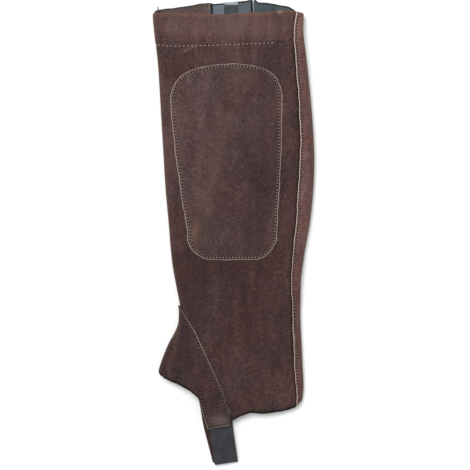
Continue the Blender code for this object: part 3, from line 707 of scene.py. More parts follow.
# A loose end of thread stands up from the mouth's front corner: 7 mm long and 1.2 mm across, with its
# fluff, it waves a little to the side and climbs 2.5 mm.
climb = np.linspace(0, 1, 9)[:, None]
turn = np.arange(6) * math.pi / 3
ring = 0.6 * np.stack([np.cos(turn), 0 * turn, np.sin(turn)], -1)
loose = np.concatenate([-82.2 + 0.4 * np.sin(4 * climb), 239.5 + 7.0 * climb, 9.5 + 2.5 * climb], 1)
points = (loose[:, None] + ring).reshape(-1, 3)
thread_end = add_mesh("loose_thread_end", points, tube_faces(9, 6), [dark_thread])
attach(thread_end, "gaiter")

# --------------------------------------------------------------------------------
# Calf patch. A second layer of the same suede, a little thinner and lighter, sewn on the inner side of
# the leg where it rubs against the saddle. Its edge is cut raw and pale, with one row of stitches all
# round, 2.5 mm in from the edge.

PATCH_THICKNESS = 1.6
PATCH_LIFT = 0.15  # over the main panel's face
PATCH_TOP, PATCH_BOTTOM, PATCH_ARCH = 179.4, -29.8, 3.6
PATCH_SIDES = np.array([(150, -68.6, 52.9), (93, -63.3, 52.1), (45, -56.9, 49.8), (0, -49.4, 47.2)])
TOP_LEFT, TOP_RIGHT, BOTTOM_LEFT, BOTTOM_RIGHT = 36.0, 31.0, 26.0, 27.0  # radii of the round corners
SEAM_INSET = 2.5
SEWN_DEPTH = 0.42  # of a row of stitches in its groove
EDGE_SKIP, STRAIGHT_ROWS, PATCH_WIDTH = 0.1, 68, 118.0


def corner_inset(radius, depth):
    """How far a round corner cuts in at a depth under the edge: the radius, less the root of its square
    less the square of what is left of it above the depth."""
    rest = np.clip(radius - depth, 0, radius)
    return radius - np.sqrt(radius**2 - rest**2)


def moved_in(path, distance):
    """A closed path moved to its left by a distance, then even in spacing again at 1 mm."""
    ahead = np.roll(path, -1, 0) - np.roll(path, 1, 0)
    ahead /= np.linalg.norm(ahead, axis=1, keepdims=True)
    path = path + distance * np.stack([-ahead[:, 1], ahead[:, 0]], -1)
    path = np.concatenate([path, path[:1]])
    return np.stack(plan_path(path), -1)


# Suede from another part of the hide: a little lighter, with a purple cast in the shade.
patch_suede = suede("brown suede of the calf patch", "#302226", "#40302f", "#584342")

# Rows lie closest together at the top and the bottom, where the corners turn most. The first and the
# last are EDGE_SKIP inside the edge.
turn = np.linspace(0, 1, 25) * math.pi / 2
rows = np.concatenate(
    [
        PATCH_TOP - EDGE_SKIP - TOP_LEFT * (1 - np.cos(turn)),
        np.linspace(PATCH_TOP - TOP_LEFT, PATCH_BOTTOM + BOTTOM_RIGHT, STRAIGHT_ROWS)[1:-1],
        PATCH_BOTTOM + EDGE_SKIP + BOTTOM_RIGHT * (1 - np.cos(turn[::-1])),
    ]
)[:, None]
left = curve_through(rows, PATCH_SIDES) + uneven(rows, 0.5)
left = left + corner_inset(TOP_LEFT, PATCH_TOP - rows) + corner_inset(BOTTOM_LEFT, rows - PATCH_BOTTOM)
right = curve_through(rows, PATCH_SIDES, 2) + uneven(rows + 9, 0.5)
right = right - corner_inset(TOP_RIGHT, PATCH_TOP - rows) - corner_inset(BOTTOM_RIGHT, rows - PATCH_BOTTOM)
near_edge = (0.4, 1.0, 1.7, 2.4, 3.1, 3.8, 4.6)
share = spread(PATCH_WIDTH, 1.6, near_edge, near_edge)
x = left + (right - left) * share
middle = (PATCH_TOP + PATCH_BOTTOM) / 2
y = rows + PATCH_ARCH * (1 - (2 * share - 1.1) ** 2) * ease((rows - middle) / (PATCH_TOP - middle))
y = y + uneven(x, 0.5)
plan = np.stack([x, y], -1)
outline = np.concatenate([plan[0], plan[1:, -1], plan[-1, -2::-1], plan[-2:0:-1, 0]])
from_edge = distance_to(plan, np.concatenate([outline, outline[:1]])[::2])
calf_patch = add_cloth(
    "calf_patch_suede",
    patch_suede,
    skin_at(x, y),
    y,
    PATCH_LIFT + PATCH_THICKNESS - 0.5 * hump(from_edge - SEAM_INSET, 1.1) - 0.25 * hump(from_edge, 1.2),
    PATCH_THICKNESS,
    attributes={
        "tone": cloudy(x, y)
        + 0.06 * hump(x + 40, 30)
        + 0.20 * hump(x + 31, 6.0) * hump(y - 168, 16.0)
        + 0.16 * hump(x + 49, 5.0) * hump(y - 166, 12.0)
        - 0.03 * hump(x - 30, 24),
        "edge": 0.7 * hump(from_edge, 0.25),
        "worn": 0.3 * hump(from_edge, 3.0)
        + 0.4 * hump(x + 34 - 0.2 * y, 9.0) * hump(y - 60, 70)
        + 1.0 * hump(x + 42 - 0.1 * y, 4.0) * hump(y - 2, 14.0),
    },
)
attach(calf_patch, "gaiter")
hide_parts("calf_patch")

sewn_x, sewn_y = moved_in(outline[::-1], SEAM_INSET).T
sewn_out = PATCH_LIFT + PATCH_THICKNESS - SEWN_DEPTH
patch_stitching = add_stitches("patch_stitching", skin_at(sewn_x, sewn_y), sewn_y, sewn_out, closed=True)

# --------------------------------------------------------------------------------
# Elastic. Two bands of ribbed grey webbing, one on each side of the zip, sewn under the suede's edges.
# Their ribs run up the leg. A black trim runs along their top; the black band down the front one's edge,
# where it shows beside the turned hem, is painted shade from the hem's edge.

ELASTIC = 1.4
ZIP_MIDDLE = 4.8  # height of the zip tape's middle over the surface
TAPE = 0.7
TAPE_SHOWING = 7.0  # from the middle of the zip to the elastic's edge
BESIDE_HEM = 1.2  # from the turned hem's edge to the front elastic
UNDER_FROM, UNDER_OVER = 210, 4  # y where that elastic starts to come out, and over what run
ZIP = np.array([(262, 21.8), (150, 24), (82, 26), (-24, 27), (-85, 27.5), (-200, 34)])  # y, x
STRIP_EDGE = np.array([(262, 66.5), (150, 70), (82, 68), (-24, 56), (-85, 48), (-200, 54)])  # y, x

# Elastic webbing is rubber cords in a jacket of matt yarn, woven flat, and dust greys it in patches. Its
# ribs' crests are painted lighter and its grooves darker, as painted light and shade. Its weft is about
# 0.5 mm, too fine to show, so it is drawn at 1.1 mm.
RIB, WEFT, DUST = 1.6, 1.1, 9.0


def webbing(name, dark, light, binding_or_shade="#1d1f20", rib=RIB, across=0):
    """Ribbed elastic webbing: the height over one rib is a sine of the distance across the ribs, and a
    finer sine along them stands for the weft. The colour follows the same sine across the ribs: painted
    light on each crest and painted shade in each groove."""
    tree, shader, made = new_material(name)
    cloth = add_node(tree, "ShaderNodeUVMap", uv_map="cloth")
    parts = add_node(tree, "ShaderNodeSeparateXYZ", links={0: cloth}).node.outputs
    waves = []
    for source, pitch in ((parts[across], rib), (parts[1 - across], WEFT)):
        values = {1: 2 * math.pi / (pitch * MM)}
        turned = add_node(tree, "ShaderNodeMath", values, {0: source}, operation="MULTIPLY")
        sine = add_node(tree, "ShaderNodeMath", links={0: turned}, operation="SINE")
        waves.append(add_node(tree, "ShaderNodeMath", {1: 0.5, 2: 0.5}, {0: sine}, operation="MULTIPLY_ADD"))
    ribs, weft = waves
    height = add_node(tree, "ShaderNodeMath", {1: 0.35}, {0: weft, 2: ribs}, operation="MULTIPLY_ADD")
    place = add_node(tree, "ShaderNodeTexCoord", out="Object")
    dust = add_node(tree, "ShaderNodeTexNoise", {"Scale": 1 / (DUST * MM), "Detail": 4.0}, {"Vector": place})
    tone = add_node(tree, "ShaderNodeMath", {1: 0.45}, {0: ribs, 2: dust}, operation="MULTIPLY_ADD")
    colour = add_node(tree, "ShaderNodeValToRGB", links={"Fac": tone})
    stops = colour.node.color_ramp.elements
    stops[0].color = linear(dark)
    stops[0].position = 0.35
    stops[1].color = linear(light)
    bound_or_shaded = add_node(tree, "ShaderNodeAttribute", out="Fac", attribute_name="bound_or_shaded")
    links = {0: bound_or_shaded, 6: colour}
    colour = add_node(tree, "ShaderNodeMix", {7: linear(binding_or_shade)}, links, out=2, data_type="RGBA")
    bump = add_node(tree, "ShaderNodeBump", {"Strength": 0.8, "Distance": 0.25 * MM}, {"Height": height})
    tree.links.new(colour, shader.inputs["Base Color"])
    tree.links.new(bump, shader.inputs["Normal"])
    shader.inputs["Roughness"].default_value = 0.85
    shader.inputs["Specular IOR Level"].default_value = 0.25
    return made


def add_outer_strip(
    name, finish, left, right, depths, thickness, step, top=top_edge, bottom=hem_edge, bound_or_shaded=(0, 0, 0)
):
    """Cloth on the outer side between two lines that run up the leg. depths gives how far under the
    tube's surface its outer face lies along each line, and bound_or_shaded how wide a band of the edge
    colour is along its top, its left and its right edge: a trim, or painted shade beside the turned hem."""
    share = spread(float(np.max(right(0.0) - left(0.0))), step, (0.4, 1.0), (0.4, 1.0))

    def columns(y):
        """Skin distances, even between the two lines."""
        start, end = skin_at(left(y), y), skin_at(right(y), y)
        return -(start + share * (end - start))

    high, low = meet(columns, top), meet(columns, bottom)
    down = spread(float(np.max(high - low)), 3.0, (0.4, 1.0, 2.0), (0.4, 1.0))[:, None]
    y = high - down * (high - low)
    start, end = (depth(y) for depth in depths)
    ripple = 0.12 * (1 + np.sin(y / 7 + 3 * share)) * np.sin(math.pi * share)
    m = columns(y)
    in_bound_or_shaded = (high - y < bound_or_shaded[0]) | (m[:, :1] - m < bound_or_shaded[1]) | (m - m[:, -1:] < bound_or_shaded[2])
    values = {"bound_or_shaded": 0.95 * in_bound_or_shaded}
    out = -start - share * (end - start) - ripple
    return add_cloth(name, finish, m, y, out, thickness, attributes=values, place=skin)


def beside(table, distance):
    """A line at a set distance to the right of one in a table, as x at y."""
    return lambda y: curve_through(y, table) + distance


def by_suede(y):
    """Depth of the front elastic where it runs under the main panel's edge."""
    return STEP_UP + above_foot(y)


def by_zip(y):
    """Depth of both elastics where they lie on a zip tape."""
    return ZIP_MIDDLE - TAPE / 2 - GAP - ELASTIC + above_foot(y)


def by_strip(y):
    """Depth of the rear elastic where it runs under the back strip."""
    return np.full(np.shape(y), STEP_UP)


def clear_of_hem(y):
    """The front elastic's edge, which stops short of the turned hem and laps under the suede below it."""
    return curve_through(y, SUEDE_EDGE) - LAP + (LAP + BESIDE_HEM) * ease((y - UNDER_FROM) / UNDER_OVER)


# The two bands are the same webbing: the front one's lighter, bluer copy is painted light, and the rear one's
# darker copy is painted shade.
grey_webbing = webbing("grey ribbed elastic", "#2f3639", "#5a6367")
lit_webbing = webbing("grey ribbed elastic, painted lighter", "#424a51", "#737c85")
# The front elastic's 2.4 mm dark band on its left edge is painted shade beside the turned hem.
elastic_front = add_outer_strip(
    "elastic_front_webbing", lit_webbing, clear_of_hem, beside(ZIP, -TAPE_SHOWING), (by_suede, by_zip),
    ELASTIC, 1.6, bound_or_shaded=(1.4, 2.4, 0),
)
elastic_rear = add_outer_strip(
    "elastic_rear_webbing", grey_webbing, beside(ZIP, TAPE_SHOWING), beside(STRIP_EDGE, LAP),
    (by_zip, by_strip), ELASTIC, 1.6, bound_or_shaded=(1.8, 0, 0),
)
for piece, node in ((elastic_front, "elastic_front"), (elastic_rear, "elastic_rear")):
    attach(piece, "gaiter")
    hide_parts(node)

# One row holds the front elastic, 3 mm in from the suede's raw edge. It lies 0.5 mm deep, so that little
# of the thread stands out of the face that the gaiter lies on.
SUNK = 0.5
y = np.arange(-190.0, 244.0)
edge_m = -skin_at(curve_through(y, SUEDE_EDGE), y)
seam_out = main_out(edge_m, y) - SUNK
elastic_stitching = add_stitches("elastic_seam_stitching", edge_m + 3.0, y, seam_out, place=skin)

# --------------------------------------------------------------------------------
# Zip. Two grey woven tapes, sewn under the elastic, with nickel-plated teeth clamped on their edges. It
# is closed, so the two rows of teeth interlock.

TAPE_REACH = 16.0  # from the middle of the zip to a tape's sewn edge
TAPE_TO_TEETH = 0.9  # from the middle of the zip to a tape's inner edge
CHAIN_TOP, CHAIN_BOTTOM = 229.5, -188.0
TOOTH_PITCH = 2.5  # of the teeth on one tape
TOOTH_LENGTH, TOOTH_WIDTH, TOOTH_HEIGHT = 3.9, 1.15, 2.5
TOOTH_PAST = 1.1  # how far a tooth reaches past the middle of the zip, between the other tape's teeth


def by_tape(y):
    """Depth of a zip tape's outer face."""
    return ZIP_MIDDLE - TAPE / 2 + above_foot(y)


# Zip tape is a flat polyester weave, finer and smoother than the elastic, so its lines of painted light
# and shade are close and faint. Its yarns are about 0.4 mm, too fine to show, so they are drawn at
# 0.9 mm. The front one has a black edge along the teeth. Both tapes are the same weave: the rear one's
# darker copy is painted shade.
grey_tape = webbing("grey woven zip tape", "#434a50", "#616a72", rib=0.9)
shaded_tape = webbing("grey woven zip tape, painted shade", "#353d40", "#50595c", rib=0.9)
zip_tape_front = add_outer_strip(
    "zip_tape_front_twill", grey_tape, beside(ZIP, -TAPE_REACH), beside(ZIP, -TAPE_TO_TEETH),
    (by_tape, by_tape), TAPE, 1.4, bound_or_shaded=(1.0, 0, 1.8),
)
zip_tape_rear = add_outer_strip(
    "zip_tape_rear_twill", shaded_tape, beside(ZIP, TAPE_TO_TEETH), beside(ZIP, TAPE_REACH),
    (by_tape, by_tape), TAPE, 1.4, bound_or_shaded=(1.0, 0, 0),
)
for piece, node, under in (
    (zip_tape_front, "zip_tape_front", elastic_front), (zip_tape_rear, "zip_tape_rear", elastic_rear)
):
    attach(piece, "gaiter")
    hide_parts(node)


def rounded(x, y, width, length, radius, steps=4):
    """The corners of a rectangle with round corners, going round anticlockwise."""
    turn = np.linspace(0, math.pi / 2, steps + 1)
    sides = np.array([(1, 1), (-1, 1), (-1, -1), (1, -1)])
    angle = turn + np.arange(4)[:, None] * math.pi / 2
    across = x + sides[:, :1] * (width / 2 - radius) + radius * np.cos(angle)
    along = y + sides[:, 1:] * (length / 2 - radius) + radius * np.sin(angle)
    return np.stack([across, along], -1).reshape(-1, 2)


def plate(outline, low, high, bevel):
    """A plate with an outline and bevelled rims: four rings, of which the outer two are moved in by the
    bevel. Gives its points and its faces, four-cornered first and then the two ends."""
    ahead = np.roll(outline, -1, 0) - np.roll(outline, 1, 0)
    ahead /= np.linalg.norm(ahead, axis=1, keepdims=True)
    inward = np.stack([-ahead[:, 1], ahead[:, 0]], -1)
    rings = ((low, bevel), (low + bevel, 0), (high - bevel, 0), (high, bevel))
    points = [np.column_stack([outline + inset * inward, np.full(len(outline), z)]) for z, inset in rings]
    return (np.concatenate(points), *tube_faces(4, len(outline)))


# Nickel plate on brass: pale, warm and mirror-like when new. Handling has dulled it in cloudy marks a
# few millimetres across, so its glints are soft and broken: its roughness is between 0.23 and 0.48.
SMEAR = 4.0
tree, shader, nickel = new_material("nickel-plated brass")
place = add_node(tree, "ShaderNodeTexCoord", out="Object")
smear = add_node(tree, "ShaderNodeTexNoise", {"Scale": 1 / (SMEAR * MM), "Detail": 3.0}, {"Vector": place})
rough = add_node(tree, "ShaderNodeMath", {1: 0.25, 2: 0.23}, {0: smear}, operation="MULTIPLY_ADD")
shader.inputs["Base Color"].default_value = linear("#c9c5bc")
shader.inputs["Metallic"].default_value = 1.0
tree.links.new(rough, shader.inputs["Roughness"])

tooth = rounded(TOOTH_LENGTH / 2 - TOOTH_PAST, 0.0, TOOTH_LENGTH, TOOTH_WIDTH, 0.4, 2)
tooth, *tooth_faces = plate(tooth, -TOOTH_HEIGHT / 2, TOOTH_HEIGHT / 2, 0.3)
y = np.arange(CHAIN_BOTTOM + 1, CHAIN_TOP - 0.5, TOOTH_PITCH / 2)
turns = np.where(np.arange(len(y)) % 2 == 0, 1.0, -1.0)  # every other tooth faces the other way
places = np.stack([curve_through(y, ZIP), y, ZIP_MIDDLE + above_foot(y)], -1)
points = tooth * np.stack([turns, turns, np.ones(len(turns))], -1)[:, None] + places[:, None]
tooth_faces = repeated(tooth_faces, len(places), len(tooth))
teeth = add_mesh("zip_teeth", points.reshape(-1, 3), tooth_faces, [nickel])
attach(teeth, "gaiter")
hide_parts("zip_chain")

# --------------------------------------------------------------------------------
# Slider and pull tab. Die-cast zinc, plated like the teeth: two plates with a post between them, and a
# bridge under the outer plate. The tab hangs on the bridge by a bar and swings on it.

SLIDER_Y = 231.0
SLIDER_WIDTH, SLIDER_LENGTH, SLIDER_PLATE = 9.0, 11.0, 0.8
SLIDER_REACH = 2.3  # from the tape's middle to a plate's outer face
BITE = 0.4  # how far a post or a bridge's foot is let into a plate
MIDDLE_WIDTH, WIDENING = 0.88, 0.022  # a plate's width at its middle, and its gain a mm, as shares
PULL_AXIS_HEIGHT, PULL_WIDTH, PULL_LENGTH, PULL_THICKNESS = 1.72, 6.4, 24.0, 1.0
PULL_WINDOW = 3.3  # from the tab's axis to the end of its window
BRIDGE_WIDTH, BRIDGE_LENGTH, BRIDGE_BAR = 3.0, 5.2, 0.6


def joined(shapes):
    """Several plates' points and faces as one shape."""
    starts = np.cumsum([0] + [len(shape[0]) for shape in shapes])
    groups = [group + start for shape, start in zip(shapes, starts) for group in shape[1:]]
    return [np.concatenate([shape[0] for shape in shapes]), *groups]


def on_edge(shape):
    """A plate turned so that its outline lies in y and z, and its thickness runs along x."""
    return (shape[0][:, [2, 0, 1]], *shape[1:])


zip_x = float(curve_through(np.array(SLIDER_Y), ZIP))
outside, inside = ZIP_MIDDLE - SLIDER_REACH, ZIP_MIDDLE + SLIDER_REACH
body = rounded(zip_x, SLIDER_Y, SLIDER_WIDTH, SLIDER_LENGTH, 2.6, 8)
# The plates widen towards the mouth, where the two rows of teeth part.
body[:, 0] = zip_x + (body[:, 0] - zip_x) * (MIDDLE_WIDTH + WIDENING * (body[:, 1] - SLIDER_Y))

# The bridge's side view: the place along it as a share of its length, and a level, which is over 0 in
# the plate, 0 at the bar's inner face and -1 at its outer face.
profile = np.array(
    [
        (-0.5, 0.4), (-0.5, 0), (-0.38, -1), (0.38, -1), (0.5, 0), (0.5, 0.4), (0.34, 0.4), (0.34, 0),
        (-0.34, 0), (-0.34, 0.4),
    ]
)
low = PULL_AXIS_HEIGHT - PULL_THICKNESS / 2 - GAP
level = np.where(profile[:, 1] > 0.1, outside + BITE, low + np.minimum(profile[:, 1], 0) * BRIDGE_BAR)
bridge = np.stack([SLIDER_Y + profile[:, 0] * BRIDGE_LENGTH, level], -1)
shapes = [
    plate(body, outside, outside + SLIDER_PLATE, 0.25),
    plate(body, inside - SLIDER_PLATE, inside, 0.25),
    plate(rounded(zip_x, SLIDER_Y + 3.0, 2.4, 2.6, 0.8), outside + BITE, inside - BITE, 0.1),
    on_edge(plate(bridge, zip_x - BRIDGE_WIDTH / 2, zip_x + BRIDGE_WIDTH / 2, 0.15)),
]
points, *groups = joined(shapes)
zip_slider = add_mesh("zip_slider_casting", points, groups, [nickel])
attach(zip_slider, "gaiter")
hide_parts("zip_slider")

# The tab is a grip, an arm 5.8 mm long on each side of the bridge, and a round bar 1 mm thick through it.
arm = (PULL_WIDTH - BRIDGE_WIDTH) / 2 - GAP
low, high = PULL_AXIS_HEIGHT - PULL_THICKNESS / 2, PULL_AXIS_HEIGHT + PULL_THICKNESS / 2
grip_end = SLIDER_Y - PULL_WINDOW
grip = rounded(zip_x, (grip_end + SLIDER_Y - PULL_LENGTH) / 2, PULL_WIDTH, PULL_LENGTH - PULL_WINDOW, 2.4, 8)
shapes = [plate(grip, low, high, 0.25)]
for side in (-1, 1):
    middle_x = zip_x + side * (PULL_WIDTH - arm) / 2
    shapes.append(plate(rounded(middle_x, SLIDER_Y - 2.4, arm, 5.8, 0.3), low, high, 0.15))
turn = np.arange(16) * math.pi / 8
bar = np.stack([SLIDER_Y + 0.5 * np.cos(turn), PULL_AXIS_HEIGHT + 0.5 * np.sin(turn)], -1)
shapes.append(on_edge(plate(bar, zip_x - PULL_WIDTH / 2 + 0.1, zip_x + PULL_WIDTH / 2 - 0.1, 0.1)))
points, *groups = joined(shapes)
zip_pull = add_mesh("zip_pull_tab", points, groups, [nickel])
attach(zip_pull, "pull_tab")
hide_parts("zip_pull")

# --------------------------------------------------------------------------------
# Label. A bare tab of dark woven ribbon, sewn by its pale top edge to the inside of the front elastic;
# the rest of it hangs loose. It is drawn as one layer, though the real one may be folded double.

LABEL_LEFT, LABEL_WIDTH, LABEL_TOP, LABEL_LENGTH, LABEL_THICKNESS = -9.2, 14.0, 252.4, 30.0, 0.5
HANG, HANG_FROM, HANG_OVER = 0.5, 240, 20  # how far it leaves the elastic, from what y, over what run


def under_label(y):
    """Depth of the label's outer face, which leaves the elastic a little further down."""
    return np.full(np.shape(y), STEP_UP + ELASTIC + 2 * GAP) + HANG * ease((HANG_FROM - y) / HANG_OVER)


def label_side(distance):
    """A line straight up the leg, at a distance from the label's left edge."""
    return lambda y: LABEL_LEFT + distance + 0 * y


def label_end(level):
    """An edge straight across the leg, at a height."""
    return lambda x, outer: np.full(np.shape(x), level)


# Woven ribbon: matt, with close threads that run across it, and pale along the edge where it is sewn.
# Its threads are about 0.3 mm, too fine to show, and are drawn at 0.7 mm.
ribbon = webbing("dark woven ribbon", "#34393b", "#4c5355", "#a9aaad", rib=0.7, across=1)
label = add_outer_strip(
    "label_ribbon", ribbon, label_side(0), label_side(LABEL_WIDTH), (under_label, under_label),
    LABEL_THICKNESS, 1.0, label_end(LABEL_TOP), label_end(LABEL_TOP - LABEL_LENGTH), (3.0, 0, 0),
)
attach(label, "gaiter")
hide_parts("label")

# --------------------------------------------------------------------------------
# Back strip. A narrow strip of the same hide from the mouth to the hem: it laps over the main panel's
# edge on the inner side, wraps round the calf, and ends on the rear elastic. Its raw edge is pale, with
# stitches 2 mm in.

LAP_STEP = 5.0  # how far a lapped edge takes to come back down
STRIP_INSET = 2.0

# Suede of the back strip, the lightest of the four.
strip_suede = suede("brown suede of the back strip", "#3c2a2a", "#523a38", "#6d504c")
strip_shares = spread(60.0, 1.5, (0.4, 0.9, 1.6, 2.3, 3.0, 3.7, 4.5), (0.5, 1.2))


def strip_columns(y):
    """From the calf seam, round the calf fold, to the strip's edge on the outer side."""
    start = inner_seam(y)
    end = 2 * skin_length(y) - skin_at(curve_through(y, STRIP_EDGE), y)
    return start + strip_shares * (end - start)


def strip_out(m, y):
    """Over the main panel's edge it is lifted by STEP_UP, which is eased out past that edge, and again
    round the calf fold."""
    length = skin_length(y)
    past = np.minimum(m, length) - inner_seam(y) - LAP - GAP
    _, _, _, fold = station(y)
    return STEP_UP * (1 - ease(past / LAP_STEP)) * (1 - ease((m - length) / fold))


high, low = meet(strip_columns, top_edge), meet(strip_columns, hem_edge)
down = spread(430.0, 2.0, (0.4, 1.0, 2.0), (0.4, 1.0, 2.0))[:, None]
y = high - down * (high - low)
m = strip_columns(y)
from_seam = m - m[:, :1]
back_strip = add_cloth(
    "back_strip_suede",
    strip_suede,
    m,
    y,
    strip_out(m, y) - 0.5 * hump(from_seam - STRIP_INSET, 1.0) - 0.3 * hump(from_seam, 1.0),
    SUEDE,
    attributes={
        "tone": cloudy(skin(m, y)[..., 0], y)
        + 0.14 * hump(from_seam - 4, 5.0)
        - 0.22 * hump(m - skin_length(y), 5.0)
        - 0.20 * ease((20 - y) / 60)
        # Painted shade: a dark band along the hem.
        - 1.2 * hump(y - low, 2.0),
        "edge": (0.95 - 0.35 * ease((10 - y) / 60)) * hump(from_seam, 0.3) + 0.4 * hump(high - y, 0.8),
        "worn": 0.3 * hump(m - skin_length(y) + 3, 4.0) + 0.3 * hump(from_seam, 3.0),
    },
)
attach(back_strip, "gaiter")
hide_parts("back_strip")

y = np.arange(-186.0, 239.0)
m = inner_seam(y) + STRIP_INSET
strip_stitching = add_stitches("back_strip_stitching", m, y, strip_out(m, y) - SEWN_DEPTH, finish=worn_thread)
m = skin_at(curve_through(y, STRIP_EDGE), y)
outer_stitching = add_stitches("back_strip_outer_stitching", -m - SEAM_INSET, y, -SUNK, place=skin)

# --------------------------------------------------------------------------------
# Foot panel. One piece of suede folded over the front of the foot, lapped over the main panel along a
# diagonal seam on each side, and carried on into a tab on each side for the strap. The tabs' raw edges
# are cream, and a stitched box holds the strap.

TOE_HEM = np.array(
    [  # x, y
        (-83.5, -150), (-81.2, -151.5), (-79.6, -155.3), (-74.6, -159.7), (-61.8, -164.6),
        (-47.2, -172.2), (-38.6, -180),
    ]
)
INNER_TAB = np.array([(-37, -184), (-27.8, -214.8), (-3.2, -210.2), (6, -208.5)])
INNER_TAB_BACK = np.array([(-1.2, -211), (4, -330)])
OUTER_TAB = np.array([(-36.5, -190.6), (-32.6, -214), (-22.3, -253), (3.4, -247), (12, -245)])
OUTER_TAB_BACK = np.array([(3.6, -246), (9, -330)])
FRONT_WEAR = np.array([(-59.6, -101.8), (-64, -129), (-71, -146), (-68.4, -157)])
TAB_STITCHING = np.array([(-35.5, -178), (-25.6, -211.4), (-5.4, -207.6), (-5.2, -196), (-9, -182)])
FOOT_ROW = (-2.1, -1.1)  # from the seam's edge to its row of stitches
FOOT_SEWN_DEPTH, TAB_SEWN_DEPTH = 0.45, 0.05  # of the seam's row and of the box on the tab

# Suede of the foot panel, the darkest of the four.
foot_suede = suede("brown suede of the foot panel", "#281b1b", "#362728", "#4e3934")
foot_shares = spread(175.0, 1.5, (0.5, 1.2), (0.5, 1.2))


def foot_columns(y):
    """From x = 3 on the outer side, round the shin, to x = -3 on the inner side."""
    start, end = -skin_at(3.0, y), skin_at(-3.0, y)
    return start + foot_shares * (end - start)


def foot_out(m, y):
    """It is lifted over the main panel on the upper side. On the outer side it lies flat, and the main
    panel climbs onto it."""
    return STEP_UP * round_shin(m, y)


# The upper edge is the seam and then the back of each tab. The lower one is the hem at the toe and then
# the front and the end of each tab.
foot_top = cut_edge(np.vstack([FOOT_SEAM, OUTER_TAB_BACK]), np.vstack([FOOT_SEAM, INNER_TAB_BACK]), 0.6)
foot_bottom = cut_edge(np.vstack([TOE_HEM, OUTER_TAB]), np.vstack([TOE_HEM, INNER_TAB]), 0.5)

high, low = meet(foot_columns, foot_top), meet(foot_columns, foot_bottom)
down = spread(110.0, 1.5, (0.4, 0.9, 1.6, 2.3, 3.0, 3.8), (0.4, 0.9, 1.6, 2.4))[:, None]
y = high - down * (high - low)
m = foot_columns(y)
plan = skin(m, y)[..., :2]
from_seam = distance_to(plan, FOOT_SEAM)
from_tab = np.where(m > 0, distance_to(plan, INNER_TAB[:3]), distance_to(plan, OUTER_TAB[1:4]))
foot_panel = add_cloth(
    "foot_panel_suede",
    foot_suede,
    m,
    y,
    foot_out(m, y) - (0.5 * hump(from_seam - SEAM_INSET, 1.1) + 0.3 * hump(from_seam, 1.0)) * (m > 0),
    SUEDE,
    attributes={
        # Painted shade: a dark band along the lower edge, except by the tabs' edges.
        "tone": cloudy(plan[..., 0], y) - 1.2 * hump(y - low, 1.8) * (from_tab > 4),
        "edge": 0.45 * hump(from_seam, 0.3) * ease(m / 12)
        + (0.5 - 0.3 * ease((plan[..., 0] + 29) / 3)) * hump(from_tab, 0.4)
        + 0.13 * hump(plan[..., 0] + 15, 10.0) * hump(y + 205, 6.0) * (m > 0),
        "worn": 0.55 * hump(distance_to(plan, FRONT_WEAR), 2.5) + 0.3 * hump(m, 5.0),
    },
)
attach(foot_panel, "gaiter")
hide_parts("foot_panel")

seam_x, seam_y = plan_path(FOOT_SEAM + FOOT_ROW)
m = skin_at(seam_x, seam_y)
m, y = np.concatenate([-m[::-1], m]), np.concatenate([seam_y[::-1], seam_y])
seam_out = foot_out(m, y) - FOOT_SEWN_DEPTH
foot_stitching = add_stitches("foot_seam_stitching", m, y, seam_out, finish=worn_thread)
seam_x, seam_y = plan_path(TAB_STITCHING)
m = skin_at(seam_x, seam_y)
seam_out = foot_out(m, seam_y) - TAB_SEWN_DEPTH
tab_stitching = add_stitches("tab_stitching", m, seam_y, seam_out, finish=worn_thread)

# --------------------------------------------------------------------------------
# Strap. A loop of black elastic, 25 mm wide, that goes under the shoe: it comes out from under the
# inner tab, folds back and ends on the outer tab.

STRAP = 1.5
STRAP_WIDTH = 25.0
STRAP_START, STRAP_END = np.array((-15.2, -202.0)), np.array((-7.4, -253.2))
STRAP_LOW, STRAP_HIGH = 2.1, 6.9  # underside of the lower run, top of the upper run
STRAP_RISE = 0.9  # how far the upper run climbs to the inner tab
STRAP_BACK = 0.65  # of the upper run's length that the lower run goes back

reach = np.linalg.norm(STRAP_END - STRAP_START)
along = (STRAP_END - STRAP_START) / reach
across = np.array([-along[1], along[0]])
radius = (STRAP_HIGH - STRAP_LOW) / 2
straight = reach - radius


def looped(m, s, out):
    """Points of the strap at a distance across it and a distance along it: a straight run that comes
    down, half a circle, and a straight run back. A slight ripple crosses the upper run."""
    m, s, out = np.broadcast_arrays(m, s, out)
    turn = np.clip((s - straight) / radius, 0, math.pi)
    back = np.maximum(s - straight - math.pi * radius, 0)
    ahead = np.minimum(s, straight) - back
    distance = ahead + (radius + out) * np.sin(turn)
    ripple = 0.25 * np.sin(s / 9 + m / 11) * np.sin(math.pi * np.clip(s / straight, 0, 1))
    rise = STRAP_RISE * np.clip(1 - s / straight, 0, 1) + ripple
    height = (STRAP_HIGH + STRAP_LOW) / 2 + (radius + out) * np.cos(turn) + rise
    flat = STRAP_START + distance[..., None] * along + m[..., None] * across
    return np.concatenate([flat, height[..., None]], -1)


# Webbing like that on the leg, dyed black, so the painted light on its ribs' crests shows only as faint grey
# lines.
black_webbing = webbing("black ribbed elastic", "#212224", "#3a3c40", rib=1.5)
m = (spread(STRAP_WIDTH, 1.0, (0.4,), (0.4,)) - 0.5) * STRAP_WIDTH
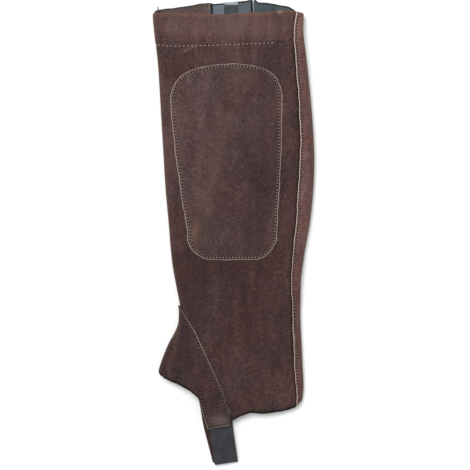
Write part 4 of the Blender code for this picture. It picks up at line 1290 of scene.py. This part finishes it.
# Its rings: 43 down the straight run, 13 round the fold and 26 back.
s = np.concatenate(
    [
        np.linspace(0, straight, 44)[:-1],
        straight + np.linspace(0, math.pi * radius, 14)[:-1],
        straight + math.pi * radius + np.linspace(0, STRAP_BACK * straight, 26),
    ]
)
m, s = np.broadcast_arrays(m, s[:, None])
strap = add_cloth("strap_webbing", black_webbing, m, s, 0.0, STRAP, attributes={"bound_or_shaded": 0.0}, place=looped)
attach(strap, "gaiter")
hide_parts("strap_elastic")

# --------------------------------------------------------------------------------
# Floor, light and camera. A plain white surface under a soft light from the upper left, seen from
# straight above. Matt white paper has no gloss, so it shows the shadows alone.

FLOOR_SIDE = 4000.0
FLOOR_DROP = 0.3  # how far it lies below the height that the gaiter rests at
corners = np.array([(-1, -1, 0), (1, -1, 0), (1, 1, 0), (-1, 1, 0)])
floor_points = corners * FLOOR_SIDE / 2 - (0, 0, FLOOR_DROP)
tree, shader, white = new_material("matt white paper")
shader.inputs["Base Color"].default_value = linear("#f4f4f2")
shader.inputs["Roughness"].default_value = 0.9
floor = add_mesh("floor", floor_points, [np.array([[0, 1, 2, 3]])], [white])

world = bpy.data.worlds.new("studio")
world.use_nodes = True
world.node_tree.nodes["Background"].inputs["Color"].default_value = (0.96, 0.98, 1.0, 1.0)
world.node_tree.nodes["Background"].inputs["Strength"].default_value = 0.75
bpy.context.scene.world = world
bpy.context.scene.view_settings.view_transform = "Standard"


def add_area_light(name, place, target, side, watts):
    """A square soft light, turned so that its -Z points at the target."""
    light = bpy.data.lights.new(name, "AREA")
    light.size = side
    light.energy = watts
    made = bpy.data.objects.new(name, light)
    made.location = place
    aim = np.array(target) - np.array(place)
    made.rotation_euler = (
        math.acos(-aim[2] / np.linalg.norm(aim)),
        0.0,
        math.atan2(aim[1], aim[0]) - math.pi / 2,
    )
    bpy.context.scene.collection.objects.link(made)


add_area_light("key_light", (-0.42, 0.58, 2.0), (0.0, 0.0, 0.0), 0.9, 30.0)

camera = bpy.data.objects.new("camera", bpy.data.cameras.new("camera"))
camera.location = (0.00198, -0.00275, 1.6)
camera.data.lens = 111.4
camera.data.sensor_width = 36.0
bpy.context.scene.collection.objects.link(camera)
bpy.context.scene.camera = camera
